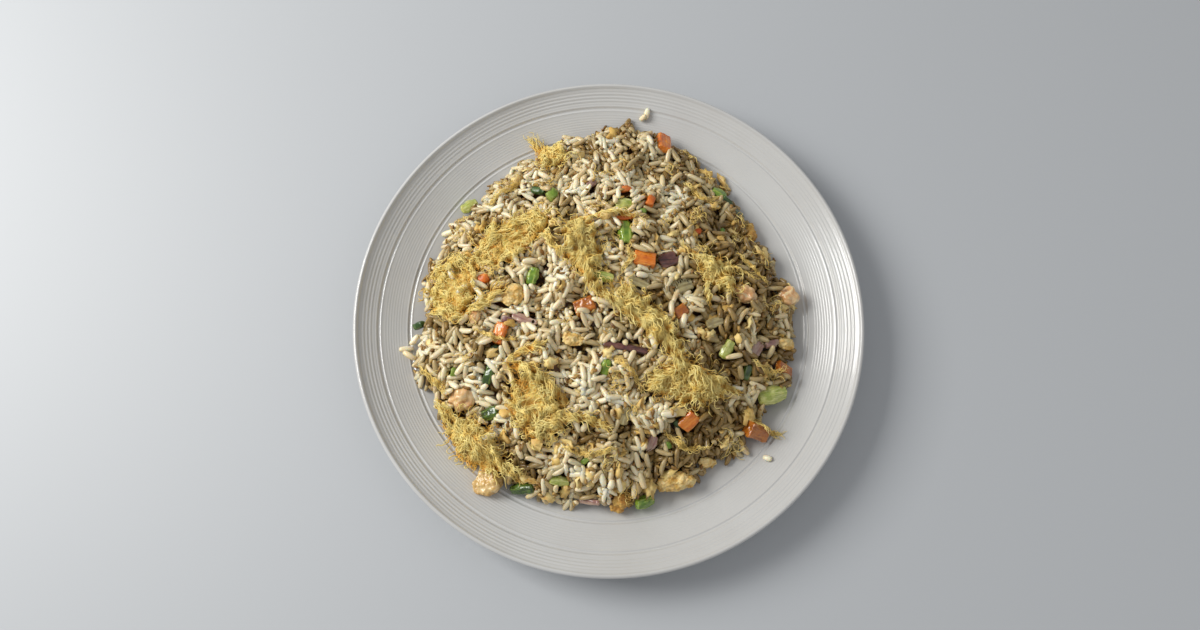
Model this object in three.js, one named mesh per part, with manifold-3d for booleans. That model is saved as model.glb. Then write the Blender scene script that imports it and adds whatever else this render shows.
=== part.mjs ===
// A dinner plate heaped with fried rice. Millimetres, +Z up, origin on the table under the middle
// of the plate. The plate is one turned solid. The heap of rice is one solid with a bumpy surface
// and loose grains joined to it, and every topping is a solid of its own, bedded on the heap.
import * as THREE from 'three';
import { mergeVertices } from 'three/addons/utils/BufferGeometryUtils.js';
import Module from 'manifold-3d';

const wasm = await Module();
wasm.setup();
const { Manifold, Mesh: SolidMesh } = wasm;

// ---------------------------------------------------------------- plate: driving dimensions
const PLATE_RADIUS = 135;
const PLATE_HEIGHT = 24;
const PLATE_SEGMENTS = 48;
const WELL_RADIUS = 80;
const WELL_HEIGHT = 6;
const WALL = 3.8;
const LIP = 1.5;
const FOOT_OUTER = 76;
const FOOT_INNER = 70;
const FOOT_RECESS = 2.2;
const GROOVE_RADII = [107.5, 122.8];
const GROOVE_WIDTH = 1.4;
const GROOVE_DEPTH = 0.45;

// ---------------------------------------------------------------- heap: driving dimensions
const GAP = 0.35;
const HEAP_CENTRE = [-3, 2];
const HEAP_RADIUS = 101;
const HEAP_PEAK = 44;
const HEAP_EDGE = 2.6;
const HEAP_RINGS = 19;
const HEAP_FLOOR_SIDES = 36;
const BUMP_CELL = 5.2;
const BUMP_HEIGHT = 2.2;
// How the outline swells and pinches: [waves round the heap, cosine mm, sine mm].
const OUTLINE_WAVES = [
  [1, 0.8, 0.2],
  [2, -2.0, 1.5],
  [3, 0.2, -3.0],
  [4, 2.0, -1.2],
  [5, 1.2, -0.3],
  [17, 0.9, -0.7],
  [26, -0.8, 0.8],
];

// ---------------------------------------------------------------- grains: driving dimensions
const GRAIN_LENGTH = 8.8;
const GRAIN_WIDTH = 2.9;
const TOP_GRAINS = 76;
const EDGE_GRAINS = 34;
const GOLDEN_ANGLE = Math.PI * (3 - Math.sqrt(5));

// A repeatable stream of numbers from 0 to 1.
function seeded(seed) {
  let state = (seed * 2654435761) >>> 0;
  return () => {
    state = (state + 0x6d2b79f5) >>> 0;
    let mixed = Math.imul(state ^ (state >>> 15), 1 | state);
    mixed = (mixed + Math.imul(mixed ^ (mixed >>> 7), 61 | mixed)) ^ mixed;
    return ((mixed ^ (mixed >>> 14)) >>> 0) / 4294967296;
  };
}

// ---------------------------------------------------------------- surfaces
// The plate's upper face: a flat well, then a wall that curves up to the rim.
function plateTop(radius) {
  const share = Math.max(radius - WELL_RADIUS, 0) / (PLATE_RADIUS - WELL_RADIUS);
  return WELL_HEIGHT + (PLATE_HEIGHT - WELL_HEIGHT) * share ** 2;
}

function heapReach(angle) {
  let reach = HEAP_RADIUS;
  for (const [waves, cosine, sine] of OUTLINE_WAVES) {
    reach += cosine * Math.cos(waves * angle) + sine * Math.sin(waves * angle);
  }
  return reach;
}

// Broad swells, a few centimetres apart, that keep the dome from looking turned.
function swell(x, y) {
  const across = 1.3 * Math.sin(x / 11 + 1.1) * Math.cos(y / 13);
  return across + 0.9 * Math.sin(y / 7.5 + x / 23);
}

// The smooth upper face of the heap, which the toppings are set on.
function heapTop(x, y) {
  const dx = x - HEAP_CENTRE[0];
  const dy = y - HEAP_CENTRE[1];
  const angle = Math.atan2(dy, dx);
  const reach = heapReach(angle);
  const share = Math.hypot(dx, dy) / reach;
  const edgeX = HEAP_CENTRE[0] + reach * Math.cos(angle);
  const edgeY = HEAP_CENTRE[1] + reach * Math.sin(angle);
  const edge = plateTop(Math.hypot(edgeX, edgeY)) + HEAP_EDGE;
  if (share >= 1) return plateTop(Math.hypot(x, y));
  const rise = (1 - share ** 2.2) ** 0.8;
  return edge + (HEAP_PEAK - edge) * rise + swell(x, y) * Math.min(1, rise * 2);
}

function heapNormal(x, y) {
  const step = 2;
  const slopeX = (heapTop(x + step, y) - heapTop(x - step, y)) / (2 * step);
  const slopeY = (heapTop(x, y + step) - heapTop(x, y - step)) / (2 * step);
  return new THREE.Vector3(-slopeX, -slopeY, 1).normalize();
}

// Bumps of a grain's size and shape, one to a cell, each lying its own way.
function grainBumps(x, y) {
  const column = Math.floor(x / BUMP_CELL);
  const row = Math.floor(y / BUMP_CELL);
  let highest = 0;
  for (let i = column - 1; i <= column + 1; i++) {
    for (let j = row - 1; j <= row + 1; j++) {
      const random = seeded((i + 200) * 997 + (j + 200) * 31);
      const fromX = x - (i + random()) * BUMP_CELL;
      const fromY = y - (j + random()) * BUMP_CELL;
      const turn = random() * Math.PI;
      const along = (fromX * Math.cos(turn) + fromY * Math.sin(turn)) / (GRAIN_LENGTH / 2);
      const across = (fromY * Math.cos(turn) - fromX * Math.sin(turn)) / GRAIN_WIDTH;
      const height = (0.6 + 0.4 * random()) * Math.max(0, 1 - along ** 2 - across ** 2);
      highest = Math.max(highest, height);
    }
  }
  return BUMP_HEIGHT * (highest - 0.5);
}

// ---------------------------------------------------------------- solids
function toSolid(geometry) {
  const bare = geometry.clone();
  bare.deleteAttribute('normal');
  bare.deleteAttribute('uv');
  const merged = mergeVertices(bare, 1e-4);
  return new Manifold(new SolidMesh({
    numProp: 3,
    vertProperties: new Float32Array(merged.attributes.position.array),
    triVerts: new Uint32Array(merged.index.array),
  }));
}

function toGeometry(solid) {
  const mesh = solid.getMesh();
  const geometry = new THREE.BufferGeometry();
  geometry.setAttribute('position', new THREE.BufferAttribute(mesh.vertProperties, 3));
  geometry.setIndex(new THREE.BufferAttribute(mesh.triVerts, 1));
  return geometry;
}

// Cutting can leave crumbs: only the largest body is kept.
function largest(solid) {
  const bodies = solid.decompose();
  return bodies.reduce((best, body) => (body.volume() > best.volume() ? body : best));
}

function fromTriangles(points, faces) {
  const geometry = new THREE.BufferGeometry();
  geometry.setAttribute('position', new THREE.Float32BufferAttribute(points.flat(), 3));
  geometry.setIndex(faces.flat());
  return geometry;
}

// Fills the strip between two rings of corners that run the same way round.
function stitch(faces, inner, outer) {
  let i = 0;
  let o = 0;
  while (i < inner.length || o < outer.length) {
    const a = inner[i % inner.length];
    const b = outer[o % outer.length];
    const stepOut = o < outer.length && (o + 1) / outer.length <= (i + 1) / inner.length;
    if (stepOut || i >= inner.length) {
      o += 1;
      faces.push([a, b, outer[o % outer.length]]);
    } else {
      i += 1;
      faces.push([a, b, inner[i % inner.length]]);
    }
  }
}

function power(value, exponent) {
  return Math.sign(value) * Math.abs(value) ** exponent;
}

// One lump of food along X, from rings of a rounded section: square makes cut faces, curl bends
// the section like a petal, bend arches the length, and rough moves each corner in and out.
function lump(shape, grow = 0) {
  const { size, square = 2, rings = 3, sides = 8, ends = 0.8 } = shape;
  const { curl = 0, bend = 0, rough = 0, seed = 1 } = shape;
  const [halfLength, halfWidth, halfHeight] = size.map((side) => side / 2 + grow);
  const random = seeded(seed);
  const points = [];
  const loops = [];
  const arch = (t) => -bend * t ** 2;
  for (let ring = 0; ring < rings; ring++) {
    const t = ends * (2 * ring / (rings - 1) - 1);
    const full = (1 - Math.abs(t) ** square) ** (1 / square);
    const loop = [];
    for (let side = 0; side < sides; side++) {
      const angle = 2 * Math.PI * (side + 0.5) / sides;
      const reach = full * (1 + rough * (random() - 0.5));
      const y = reach * power(Math.cos(angle), 2 / square);
      const z = reach * power(Math.sin(angle), 2 / square);
      loop.push(points.length);
      const sag = arch(t) - curl * y ** 2;
      points.push([t * halfLength, y * halfWidth, z * halfHeight + sag]);
    }
    loops.push(loop);
  }
  const back = points.push([-halfLength, 0, arch(1)]) - 1;
  const front = points.push([halfLength, 0, arch(1)]) - 1;
  const faces = [];
  const around = (side) => (side + 1) % sides;
  for (let side = 0; side < sides; side++) {
    faces.push([back, loops[0][around(side)], loops[0][side]]);
    faces.push([front, loops[rings - 1][side], loops[rings - 1][around(side)]]);
    for (let ring = 0; ring < rings - 1; ring++) {
      const [near, far] = [loops[ring], loops[ring + 1]];
      faces.push([near[side], near[around(side)], far[side]]);
      faces.push([near[around(side)], far[around(side)], far[side]]);
    }
  }
  return fromTriangles(points, faces);
}

// ---------------------------------------------------------------- plate
function groove(radius) {
  const half = GROOVE_WIDTH / 2;
  return [-half, -half / 2, half / 2, half].map((offset, index) => {
    const depth = index === 1 || index === 2 ? GROOVE_DEPTH : 0;
    return [radius + offset, plateTop(radius + offset) - depth];
  });
}

function plateGeometry() {
  const upper = [
    [0, WELL_HEIGHT],
    [WELL_RADIUS, WELL_HEIGHT],
    [90, plateTop(90)],
    [99, plateTop(99)],
    ...groove(GROOVE_RADII[0]),
    [115, plateTop(115)],
    ...groove(GROOVE_RADII[1]),
    [129, plateTop(129)],
  ];
  const lipCentre = [PLATE_RADIUS - LIP, PLATE_HEIGHT - LIP];
  const lip = [100, 55, 5, -45].map((degrees) => {
    const angle = THREE.MathUtils.degToRad(degrees);
    return [lipCentre[0] + LIP * Math.cos(angle), lipCentre[1] + LIP * Math.sin(angle)];
  });
  const lower = [
    [122, plateTop(122) - WALL],
    [107, plateTop(107) - WALL],
    [92, plateTop(92) - WALL],
    [FOOT_OUTER + 2, WELL_HEIGHT - WALL],
    [FOOT_OUTER, 0],
    [FOOT_INNER, 0],
    [FOOT_INNER - 2, FOOT_RECESS],
    [0, FOOT_RECESS],
  ];
  const profile = [...upper, ...lip, ...lower].reverse();
  const outline = profile.map(([radius, height]) => new THREE.Vector2(radius, height));
  outline[0].x = 0;
  return new THREE.LatheGeometry(outline, PLATE_SEGMENTS).rotateX(Math.PI / 2);
}

// ---------------------------------------------------------------- bare heap
// The bumpy dome with a hem round it and a floor just clear of the plate. A grown heap is the
// same shape swollen a little all round, for cutting what is bedded on it.
function heapGeometry(grow = 0) {
  const [middleX, middleY] = HEAP_CENTRE;
  const spread = 1 + grow / HEAP_RADIUS;
  const points = [];
  const faces = [];
  const addCorner = (x, y, z) => {
    return points.push([middleX + (x - middleX) * spread, middleY + (y - middleY) * spread, z]) - 1;
  };
  const addRing = (share, height) => {
    const count = Math.max(6, Math.round(6 * HEAP_RINGS * share));
    return Array.from({ length: count }, (_, index) => {
      const angle = (2 * Math.PI * index) / count;
      const reach = share * heapReach(angle);
      const x = middleX + reach * Math.cos(angle);
      const y = middleY + reach * Math.sin(angle);
      return addCorner(x, y, height(x, y));
    });
  };
  const fan = (middle, loop) => {
    loop.forEach((corner, index) => faces.push([middle, corner, loop[(index + 1) % loop.length]]));
  };
  const bumpy = (x, y) => heapTop(x, y) + grainBumps(x, y) + grow;
  const overPlate = (above) => (x, y) => plateTop(Math.hypot(x, y)) + above;
  let loop = addRing(1 / HEAP_RINGS, bumpy);
  fan(addCorner(middleX, middleY, bumpy(middleX, middleY)), loop);
  for (let ring = 2; ring <= HEAP_RINGS; ring++) {
    const height = ring < HEAP_RINGS ? bumpy : overPlate(HEAP_EDGE + grow);
    const next = addRing(ring / HEAP_RINGS, height);
    stitch(faces, loop, next);
    loop = next;
  }
  const hem = addRing(1, overPlate(GAP - grow));
  stitch(faces, loop, hem);
  const floor = Array.from({ length: HEAP_FLOOR_SIDES }, (_, index) => {
    const angle = (2 * Math.PI * index) / HEAP_FLOOR_SIDES;
    const reach = WELL_RADIUS - 2;
    return addCorner(reach * Math.cos(angle), reach * Math.sin(angle), WELL_HEIGHT + GAP - grow);
  });
  stitch(faces, hem, floor);
  fan(addCorner(0, 0, WELL_HEIGHT + GAP - grow), floor.reverse());
  return fromTriangles(points, faces);
}

// ---------------------------------------------------------------- toppings
const FOOD = {
  carrot: { look: { square: 6, rings: 2, ends: 0.93, rough: 0.06 }, show: 0.62, color: 0xc8641c },
  green: { look: { square: 3, rings: 3, ends: 0.86, curl: 1.4, rough: 0.1 }, show: 0.6, color: 0x7f9a3c },
  onion: { look: { square: 3, rings: 3, ends: 0.86, curl: 2.2, rough: 0.08 }, show: 0.75, color: 0x9c7f7c },
  shrimp: { look: { square: 2.3, rings: 4, ends: 0.84, rough: 0.12, bend: 2.5 }, show: 0.6, color: 0xd9aa84 },
  egg: { look: { square: 2, rings: 4, ends: 0.78, rough: 0.42 }, show: 0.6, color: 0xdcbc78 },
  floss: { look: { square: 2, rings: 4, sides: 9, ends: 0.82, rough: 0.4 }, show: 0.6, color: 0xe0b458 },
};

// Where each topping lies: [x, y, length, width, height, turn in degrees].
const TOPPINGS = {
  carrot: [
    [30, 98, 14, 10, 9, 82],
    [18, 23, 12, 9.5, 8, -8],
    [-12, -2, 11, 9.5, 8, 20],
    [-55, -15, 11.5, 7.5, 7, 70],
    [36, -4, 7.5, 7, 6, 35],
    [91, -29, 11, 7.5, 7, -15],
    [40, -57, 10.5, 9.5, 8, 50],
    [76, -61, 14, 10, 8, -20],
  ],
  green: [
    [-77, 64, 11, 8, 6.5, 30],
    [8, 55, 9.5, 8.5, 7, 0],
    [9, 39, 14, 9, 6, 95],
    [61, 70, 9.5, 8, 6, -20],
    [71, 60, 11, 7, 4.5, -35],
    [-39, 15, 10, 7, 6, 75],
    [-3, 13, 12, 6.5, 5.5, -12],
    [-2, -33, 9, 6.5, 6, 75],
    [-61, -35, 10.5, 7.5, 5, 70],
    [-60, -54, 10, 8.5, 6, 15],
    [-44, -91, 15, 7, 5.5, 12],
    [-25, -87, 11, 7, 5.5, -10],
    [18, -97, 11, 8, 6, 10],
    [-10, -58, 9.5, 6, 4.5, 25],
    [60, -22, 11, 7.5, 6, 60],
    [71, -32, 9, 7, 5.5, 80],
    [85, -42, 18, 11.5, 9, 8],
  ],
  onion: [
    [31, 24, 12, 12, 3, 30],
    [8, -23, 25, 6, 3, -10],
    [-43, -8, 15, 7, 3, -20],
    [77, -20, 12, 11, 2.4, 60],
    [21, -70, 11.5, 8.5, 3, 70],
    [-10, -97, 12.5, 5, 3, 0],
    [37, 10, 15, 13, 2.4, 20],
    [15, 10, 12, 8, 3, -25],
    [85, -3, 12.5, 11, 2.4, 80],
    [54, -9, 10, 8, 2.6, 15],
    [8, -56, 11, 8, 3, 80],
  ],
  shrimp: [
    [71, 8, 15, 12.5, 10, -30],
    [97, 11, 15, 11, 9, 20],
    [-75, -47, 14, 12.5, 10, 10],
    [-68, -5, 10, 7, 7, 75],
    [-62, -87, 14, 13, 8, 25],
  ],
  egg: [
    [-49, 5, 13, 11.5, 8, 40],
    [-18, -19, 12.5, 8, 7, -15],
    [78, 49, 11.5, 9, 6.5, 75],
    [34, -87, 22, 12, 8, 8],
    [5, -97, 13, 9.5, 7.5, 80],
    [48, 66, 11, 8, 5, 60],
    [93, -15, 12, 7, 5.5, -10],
    [51, -77, 12.5, 8, 5, -20],
  ],
  floss: [
    [-32, 91, 17, 12, 7, 150],
    [-51, 38, 44, 24, 8, 35],
    [-15, 32, 32, 15, 9, 100],
    [20, -8, 44, 12, 8, -48],
    [39, -41, 38, 16, 9, -6],
    [-81, 13, 32, 26, 10, 75],
    [-69, -68, 34, 18, 9, -40],
    [-37, -52, 34, 22, 11, 115],
    [57, 18, 26, 14, 6, -50],
  ],
};

// Scraps smaller than a berry, joined to the heap: [x, y, length, width, height, turn in degrees].
const SCRAPS = [
  [9, 64, 6.5, 3.5, 4, 10],
  [-65, 15, 6, 5.5, 5, 20],
  [-38, 66, 8.5, 4, 3, -20],
  [-30, 62, 6.5, 6, 5, 50],
  [-101, -5, 8, 4, 4, 10],
  [-80, -32, 5, 3.5, 4, 80],
  [-29, -31, 7, 5.5, 5, 30],
  [22, 57, 7, 5, 5, 70],
  [8, 47, 12, 3.2, 3, 10],
  [-50, 76, 7, 6, 5, 70],
  [-60, -24, 8, 5, 4.5, 15],
  [-29, 44, 6.5, 5, 4.5, 40],
  [47, -15, 7, 4, 4, -50],
];

// A turned and tilted stand on the heap for a piece whose middle is lifted off the surface.
function stand(x, y, turn, lift) {
  const normal = heapNormal(x, y);
  const tilt = new THREE.Quaternion().setFromUnitVectors(new THREE.Vector3(0, 0, 1), normal);
  const spin = new THREE.Quaternion().setFromAxisAngle(new THREE.Vector3(0, 0, 1), turn);
  const seat = new THREE.Object3D();
  seat.quaternion.copy(tilt).multiply(spin);
  seat.position.set(x, y, heapTop(x, y)).addScaledVector(normal, lift);
  return seat;
}

// How far a placed geometry has to rise to clear the plate.
function plateRise(geometry, matrix) {
  const corner = new THREE.Vector3();
  const corners = geometry.attributes.position;
  let rise = 0;
  for (let index = 0; index < corners.count; index++) {
    corner.fromBufferAttribute(corners, index).applyMatrix4(matrix);
    const under = plateTop(Math.hypot(corner.x, corner.y) + 1) + GAP;
    rise = Math.max(rise, under - corner.z);
  }
  return rise;
}

function placed(geometry, seat) {
  seat.updateMatrix();
  seat.position.z += plateRise(geometry, seat.matrix);
  seat.updateMatrix();
  return seat;
}

// A soft clump is laid over the heap: each corner keeps its height above the surface.
function drape(geometry, x, y, turn, lift, clearance = GAP) {
  geometry.rotateZ(turn);
  const corners = geometry.attributes.position;
  for (let index = 0; index < corners.count; index++) {
    const atX = x + corners.getX(index);
    const atY = y + corners.getY(index);
    const low = plateTop(Math.hypot(atX, atY) + 1) + clearance;
    const laid = Math.max(low, corners.getZ(index) + lift + heapTop(atX, atY));
    corners.setXYZ(index, atX, atY, laid);
  }
  return geometry;
}

function makeTopping(kind, index, place) {
  const { look, show } = FOOD[kind];
  const [x, y, length, width, height, degrees] = place;
  const turn = THREE.MathUtils.degToRad(degrees);
  const shape = { ...look, size: [length, width, height], seed: index + 7 };
  const lift = (show - 0.5) * height;
  const name = `${kind}_${index + 1}`;
  if (kind === 'floss') {
    const solid = toSolid(drape(lump(shape), x, y, turn, lift));
    return { name, kind, solid, room: toSolid(drape(lump(shape, GAP), x, y, turn, lift, 0)) };
  }
  const seat = placed(lump(shape), stand(x, y, turn, lift)).matrix;
  const solid = toSolid(lump(shape).applyMatrix4(seat));
  return { name, kind, solid, room: toSolid(lump(shape, GAP).applyMatrix4(seat)) };
}

// Each topping is bedded on the bare heap, and a soft clump also gives way to firmer pieces.
function makeToppings() {
  const bed = toSolid(heapGeometry(1.5 * GAP));
  const pieces = [];
  for (const [kind, places] of Object.entries(TOPPINGS)) {
    places.forEach((place, index) => {
      const piece = makeTopping(kind, index, place);
      let solid = piece.solid.subtract(bed);
      if (kind === 'floss') {
        for (const other of pieces) solid = solid.subtract(other.room);
      }
      piece.solid = largest(solid);
      pieces.push(piece);
    });
  }
  return pieces;
}

// ---------------------------------------------------------------- loose grains and scraps
function grainSpots() {
  const random = seeded(5);
  const spots = [];
  for (let index = 0; index < TOP_GRAINS; index++) {
    const share = 0.93 * Math.sqrt((index + 0.5) / TOP_GRAINS);
    spots.push([index * GOLDEN_ANGLE + 0.1 * random(), share, random() * Math.PI]);
  }
  for (let index = 0; index < EDGE_GRAINS; index++) {
    const angle = (2 * Math.PI * (index + 0.6 * random())) / EDGE_GRAINS;
    spots.push([angle, 0.985 + 0.03 * random(), random() * Math.PI]);
  }
  return spots;
}

function makeGrain(angle, share, turn, seed) {
  const reach = share * heapReach(angle);
  const x = HEAP_CENTRE[0] + reach * Math.cos(angle);
  const y = HEAP_CENTRE[1] + reach * Math.sin(angle);
  const random = seeded(seed);
  const size = [GRAIN_LENGTH * (0.9 + 0.25 * random()), GRAIN_WIDTH, GRAIN_WIDTH * 0.95];
  const geometry = lump({ size, rings: 2, sides: 5, ends: 0.62, seed });
  const seat = stand(x, y, turn, grainBumps(x, y) + 0.35 * GRAIN_WIDTH);
  seat.rotateY((random() - 0.5) * 0.7);
  return toSolid(geometry.applyMatrix4(placed(geometry, seat).matrix));
}

function makeScrap([x, y, length, width, height, degrees], index) {
  const shape = { size: [length, width, height], rings: 2, sides: 6, ends: 0.7, rough: 0.2, seed: index };
  const geometry = lump(shape);
  const seat = stand(x, y, THREE.MathUtils.degToRad(degrees), 0.25 * height);
  return toSolid(geometry.applyMatrix4(placed(geometry, seat).matrix));
}

function makeRice(toppings) {
  const core = toSolid(heapGeometry());
  const clear = (solid) => toppings.every((topping) => solid.intersect(topping.room).isEmpty());
  const grains = grainSpots().map(([angle, share, turn], index) => {
    return makeGrain(angle, share, turn, index + 11);
  });
  const scraps = SCRAPS.map(makeScrap);
  const joined = [...scraps, ...grains].filter(clear);
  return largest(Manifold.union([core, ...joined]));
}

// ---------------------------------------------------------------- assembly
function finish(color, roughness) {
  return new THREE.MeshStandardMaterial({ color, roughness, metalness: 0, flatShading: true });
}

function addMesh(group, name, geometry, material) {
  const mesh = new THREE.Mesh(geometry, material);
  mesh.name = name;
  group.add(mesh);
}

const friedRicePlate = new THREE.Group();
friedRicePlate.name = 'fried_rice_plate';
addMesh(friedRicePlate, 'plate', plateGeometry(), finish(0xe6e4de, 0.25));
const toppings = makeToppings();
const heap = new THREE.Group();
friedRicePlate.add(heap);
addMesh(heap, 'rice_heap', toGeometry(makeRice(toppings)), finish(0xd8cbb0, 0.6));
for (const { name, kind, solid } of toppings) {
  addMesh(heap, name, toGeometry(solid), finish(FOOD[kind].color, 0.5));
}

export default friedRicePlate;
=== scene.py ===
# %% [markdown]
# # A plate of fried rice
# This notebook dresses a measured model of a dinner plate heaped with fried rice. The frame gives
# the true size and place of the plate, the heap and each topping. Everything that shows is then
# modelled here in metres, around that frame, and every surface gets a procedural material.

# %% Load the measured frame
import math
import bpy
import numpy as np
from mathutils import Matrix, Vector, noise
from mathutils.bvhtree import BVHTree


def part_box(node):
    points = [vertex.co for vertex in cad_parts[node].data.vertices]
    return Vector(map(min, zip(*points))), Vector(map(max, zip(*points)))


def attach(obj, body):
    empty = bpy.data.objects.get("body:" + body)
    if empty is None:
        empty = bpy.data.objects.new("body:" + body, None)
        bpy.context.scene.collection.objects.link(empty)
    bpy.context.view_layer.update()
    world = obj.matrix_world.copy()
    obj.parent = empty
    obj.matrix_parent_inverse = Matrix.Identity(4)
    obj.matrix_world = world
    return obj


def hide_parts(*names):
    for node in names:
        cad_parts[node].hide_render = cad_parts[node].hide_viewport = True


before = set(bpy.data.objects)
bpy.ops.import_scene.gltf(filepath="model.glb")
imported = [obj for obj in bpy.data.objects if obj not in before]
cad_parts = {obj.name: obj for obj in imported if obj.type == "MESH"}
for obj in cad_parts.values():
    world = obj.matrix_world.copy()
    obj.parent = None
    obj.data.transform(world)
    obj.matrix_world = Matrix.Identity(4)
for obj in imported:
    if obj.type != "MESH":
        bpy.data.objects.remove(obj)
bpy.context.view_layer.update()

MM = 0.001
noise.seed_set(5)  # noise_vector takes its offsets from this seed, so every run gives one result

# %% [markdown]
# ## The view
# The plate is seen from nearly overhead, by someone standing at its near side with a phone. The
# camera is set at that height and leans forward by fifteen degrees. Its lens is a wide one, so the
# top of the heap looks a little larger than the rim.

# %% Camera
CAMERA_MM = (-5.6, -127.0, 487.1)
CAMERA_LEAN = math.radians(15.195)
CAMERA_ROLL = math.radians(-0.124)
CAMERA_LENS = 27.3

bpy.ops.object.camera_add(
    location=[value * MM for value in CAMERA_MM],
    rotation=(CAMERA_LEAN, CAMERA_ROLL, 0),
)
camera = bpy.context.object
camera.data.lens = CAMERA_LENS
camera.data.sensor_width = 36
bpy.context.scene.camera = camera
print("camera:", CAMERA_MM[2], "mm up, leaning", round(math.degrees(CAMERA_LEAN), 1), "degrees")

# %% [markdown]
# ## The room
# A pale matt table top carries the plate. A large soft light stands for a window on the left, a
# weak one fills from the other side, and a grey sky lifts the shadows.

# %% Table top and lights
def deselect():
    if bpy.context.object and bpy.context.object.mode != "OBJECT":
        bpy.ops.object.mode_set(mode="OBJECT")
    bpy.ops.object.select_all(action="DESELECT")


def linear(red, green, blue):
    """A colour given in screen values from 0 to 255, as the linear values that shaders use."""
    shares = [value / 255 for value in (red, green, blue)]
    return (*[s / 12.92 if s <= 0.04045 else ((s + 0.055) / 1.055) ** 2.4 for s in shares], 1)


def linears(*colours):
    return [linear(*colour) for colour in colours]


def new_material(name, roughness=0.5):
    material = bpy.data.materials.new(name)
    material.use_nodes = True
    shader = material.node_tree.nodes["Principled BSDF"]
    shader.inputs["Roughness"].default_value = roughness
    return material, material.node_tree, shader


def area_light(name, place_mm, size_mm, watts, colour):
    bpy.ops.object.light_add(type="AREA", location=[value * MM for value in place_mm])
    light = bpy.context.object
    light.name = name
    light.data.shape = "RECTANGLE"
    light.data.size, light.data.size_y = [value * MM for value in size_mm]
    light.data.energy = watts
    light.data.color = colour
    light.rotation_euler = (-Vector(light.location)).to_track_quat("-Z", "Y").to_euler()
    return light


deselect()
bpy.ops.mesh.primitive_plane_add(size=10)
table_top = bpy.context.object
table_top.name = "table_top"
table_material, tree, shader = new_material("pale matt table", 0.55)
shader.inputs["Base Color"].default_value = linear(184, 187, 190)
table_top.data.materials.append(table_material)

WINDOW_WATTS, FILL_WATTS, SKY_STRENGTH = 17.0, 1.5, 0.41
area_light("window", (-1000, 300, 830), (640, 640), WINDOW_WATTS, (1.0, 0.99, 0.965))
area_light("fill", (800, -300, 900), (1200, 1200), FILL_WATTS, (0.98, 0.99, 1.0))
bpy.context.scene.view_settings.view_transform = "Standard"
world = bpy.data.worlds.new("grey sky")
world.use_nodes = True
sky = world.node_tree.nodes["Background"]
sky.inputs["Color"].default_value = (0.88, 0.89, 0.91, 1)
sky.inputs["Strength"].default_value = SKY_STRENGTH
bpy.context.scene.world = world
print("lights:", WINDOW_WATTS, "W window,", FILL_WATTS, "W fill, sky at", SKY_STRENGTH)

# %% [markdown]
# ## Shared shader groups
# Cooked food is never one colour: it is patchy over a few millimetres and finely grained below
# that. One node group mixes two colours with soft patches, a second puts a fine uneven skin on the
# surface as a bump. Each material places them with its own colours and scales. Both read Object
# coordinates, which lie still because each finished piece has its object at the origin.

# %% Node groups
def wire(tree, *wires):
    """Links nodes. Each wire is (node, name of its output, next node, name of its input)."""
    for node, output, next_node, socket in wires:
        tree.links.new(node.outputs[output], next_node.inputs[socket])


def mix_node(tree, first=None, second=None):
    """A node that goes from a first colour to a second one by its factor."""
    node = tree.nodes.new("ShaderNodeMix")
    node.data_type = "RGBA"
    for socket, colour in (("A", first), ("B", second)):
        if colour:
            node.inputs[socket].default_value = colour
    return node


def attribute_node(tree, name):
    """Reads values that are stored on the mesh itself, corner by corner."""
    node = tree.nodes.new("ShaderNodeAttribute")
    node.attribute_name = name
    return node


def new_group(name, inputs, outputs):
    """A shader group with its sockets. An input without a number is a colour."""
    group = bpy.data.node_groups.new(name, "ShaderNodeTree")
    for socket, value in inputs.items():
        kind = "NodeSocketColor" if value is None else "NodeSocketFloat"
        made = group.interface.new_socket(name=socket, in_out="INPUT", socket_type=kind)
        if value is not None:
            made.default_value = value
    for socket, kind in outputs.items():
        group.interface.new_socket(name=socket, in_out="OUTPUT", socket_type="NodeSocket" + kind)
    return group, group.nodes.new("NodeGroupInput"), group.nodes.new("NodeGroupOutput")


def cloud_node(group, inputs, place, detail):
    """A noise texture, at the group's own scale, over the given place."""
    clouds = group.nodes.new("ShaderNodeTexNoise")
    clouds.inputs["Detail"].default_value = detail
    group.links.new(place, clouds.inputs["Vector"])
    group.links.new(inputs.outputs["Scale"], clouds.inputs["Scale"])
    return clouds


def mix_by_clouds(group, inputs, outputs, clouds, first, second):
    """Goes from one colour input to another where the noise passes from Low to High."""
    spread = group.nodes.new("ShaderNodeMapRange")
    mix = mix_node(group)
    wire(group, (clouds, "Fac", spread, "Value"), (inputs, "Low", spread, "From Min"),
         (inputs, "High", spread, "From Max"), (spread, "Result", mix, "Factor"),
         (inputs, first, mix, "A"), (inputs, second, mix, "B"), (mix, "Result", outputs, "Colour"))


def make_patches():
    sockets = {"Colour A": None, "Colour B": None, "Scale": 200.0, "Low": 0.4, "High": 0.6}
    group, inputs, outputs = new_group("food patches", sockets, {"Colour": "Color"})
    place = group.nodes.new("ShaderNodeTexCoord").outputs["Object"]
    clouds = cloud_node(group, inputs, place, 3)
    mix_by_clouds(group, inputs, outputs, clouds, "Colour A", "Colour B")
    return group


def make_skin():
    sockets = {"Scale": 900.0, "Depth": 0.3}
    group, inputs, outputs = new_group("uneven skin", sockets, {"Normal": "Vector"})
    place = group.nodes.new("ShaderNodeTexCoord").outputs["Object"]
    clouds = cloud_node(group, inputs, place, 4)
    bump = group.nodes.new("ShaderNodeBump")
    bump.inputs["Distance"].default_value = 0.4 * MM
    wire(group, (clouds, "Fac", bump, "Height"), (inputs, "Depth", bump, "Strength"),
         (bump, "Normal", outputs, "Normal"))
    return group


PATCHES = make_patches()
SKIN = make_skin()
print("shared groups:", PATCHES.name, "and", SKIN.name)


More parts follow.
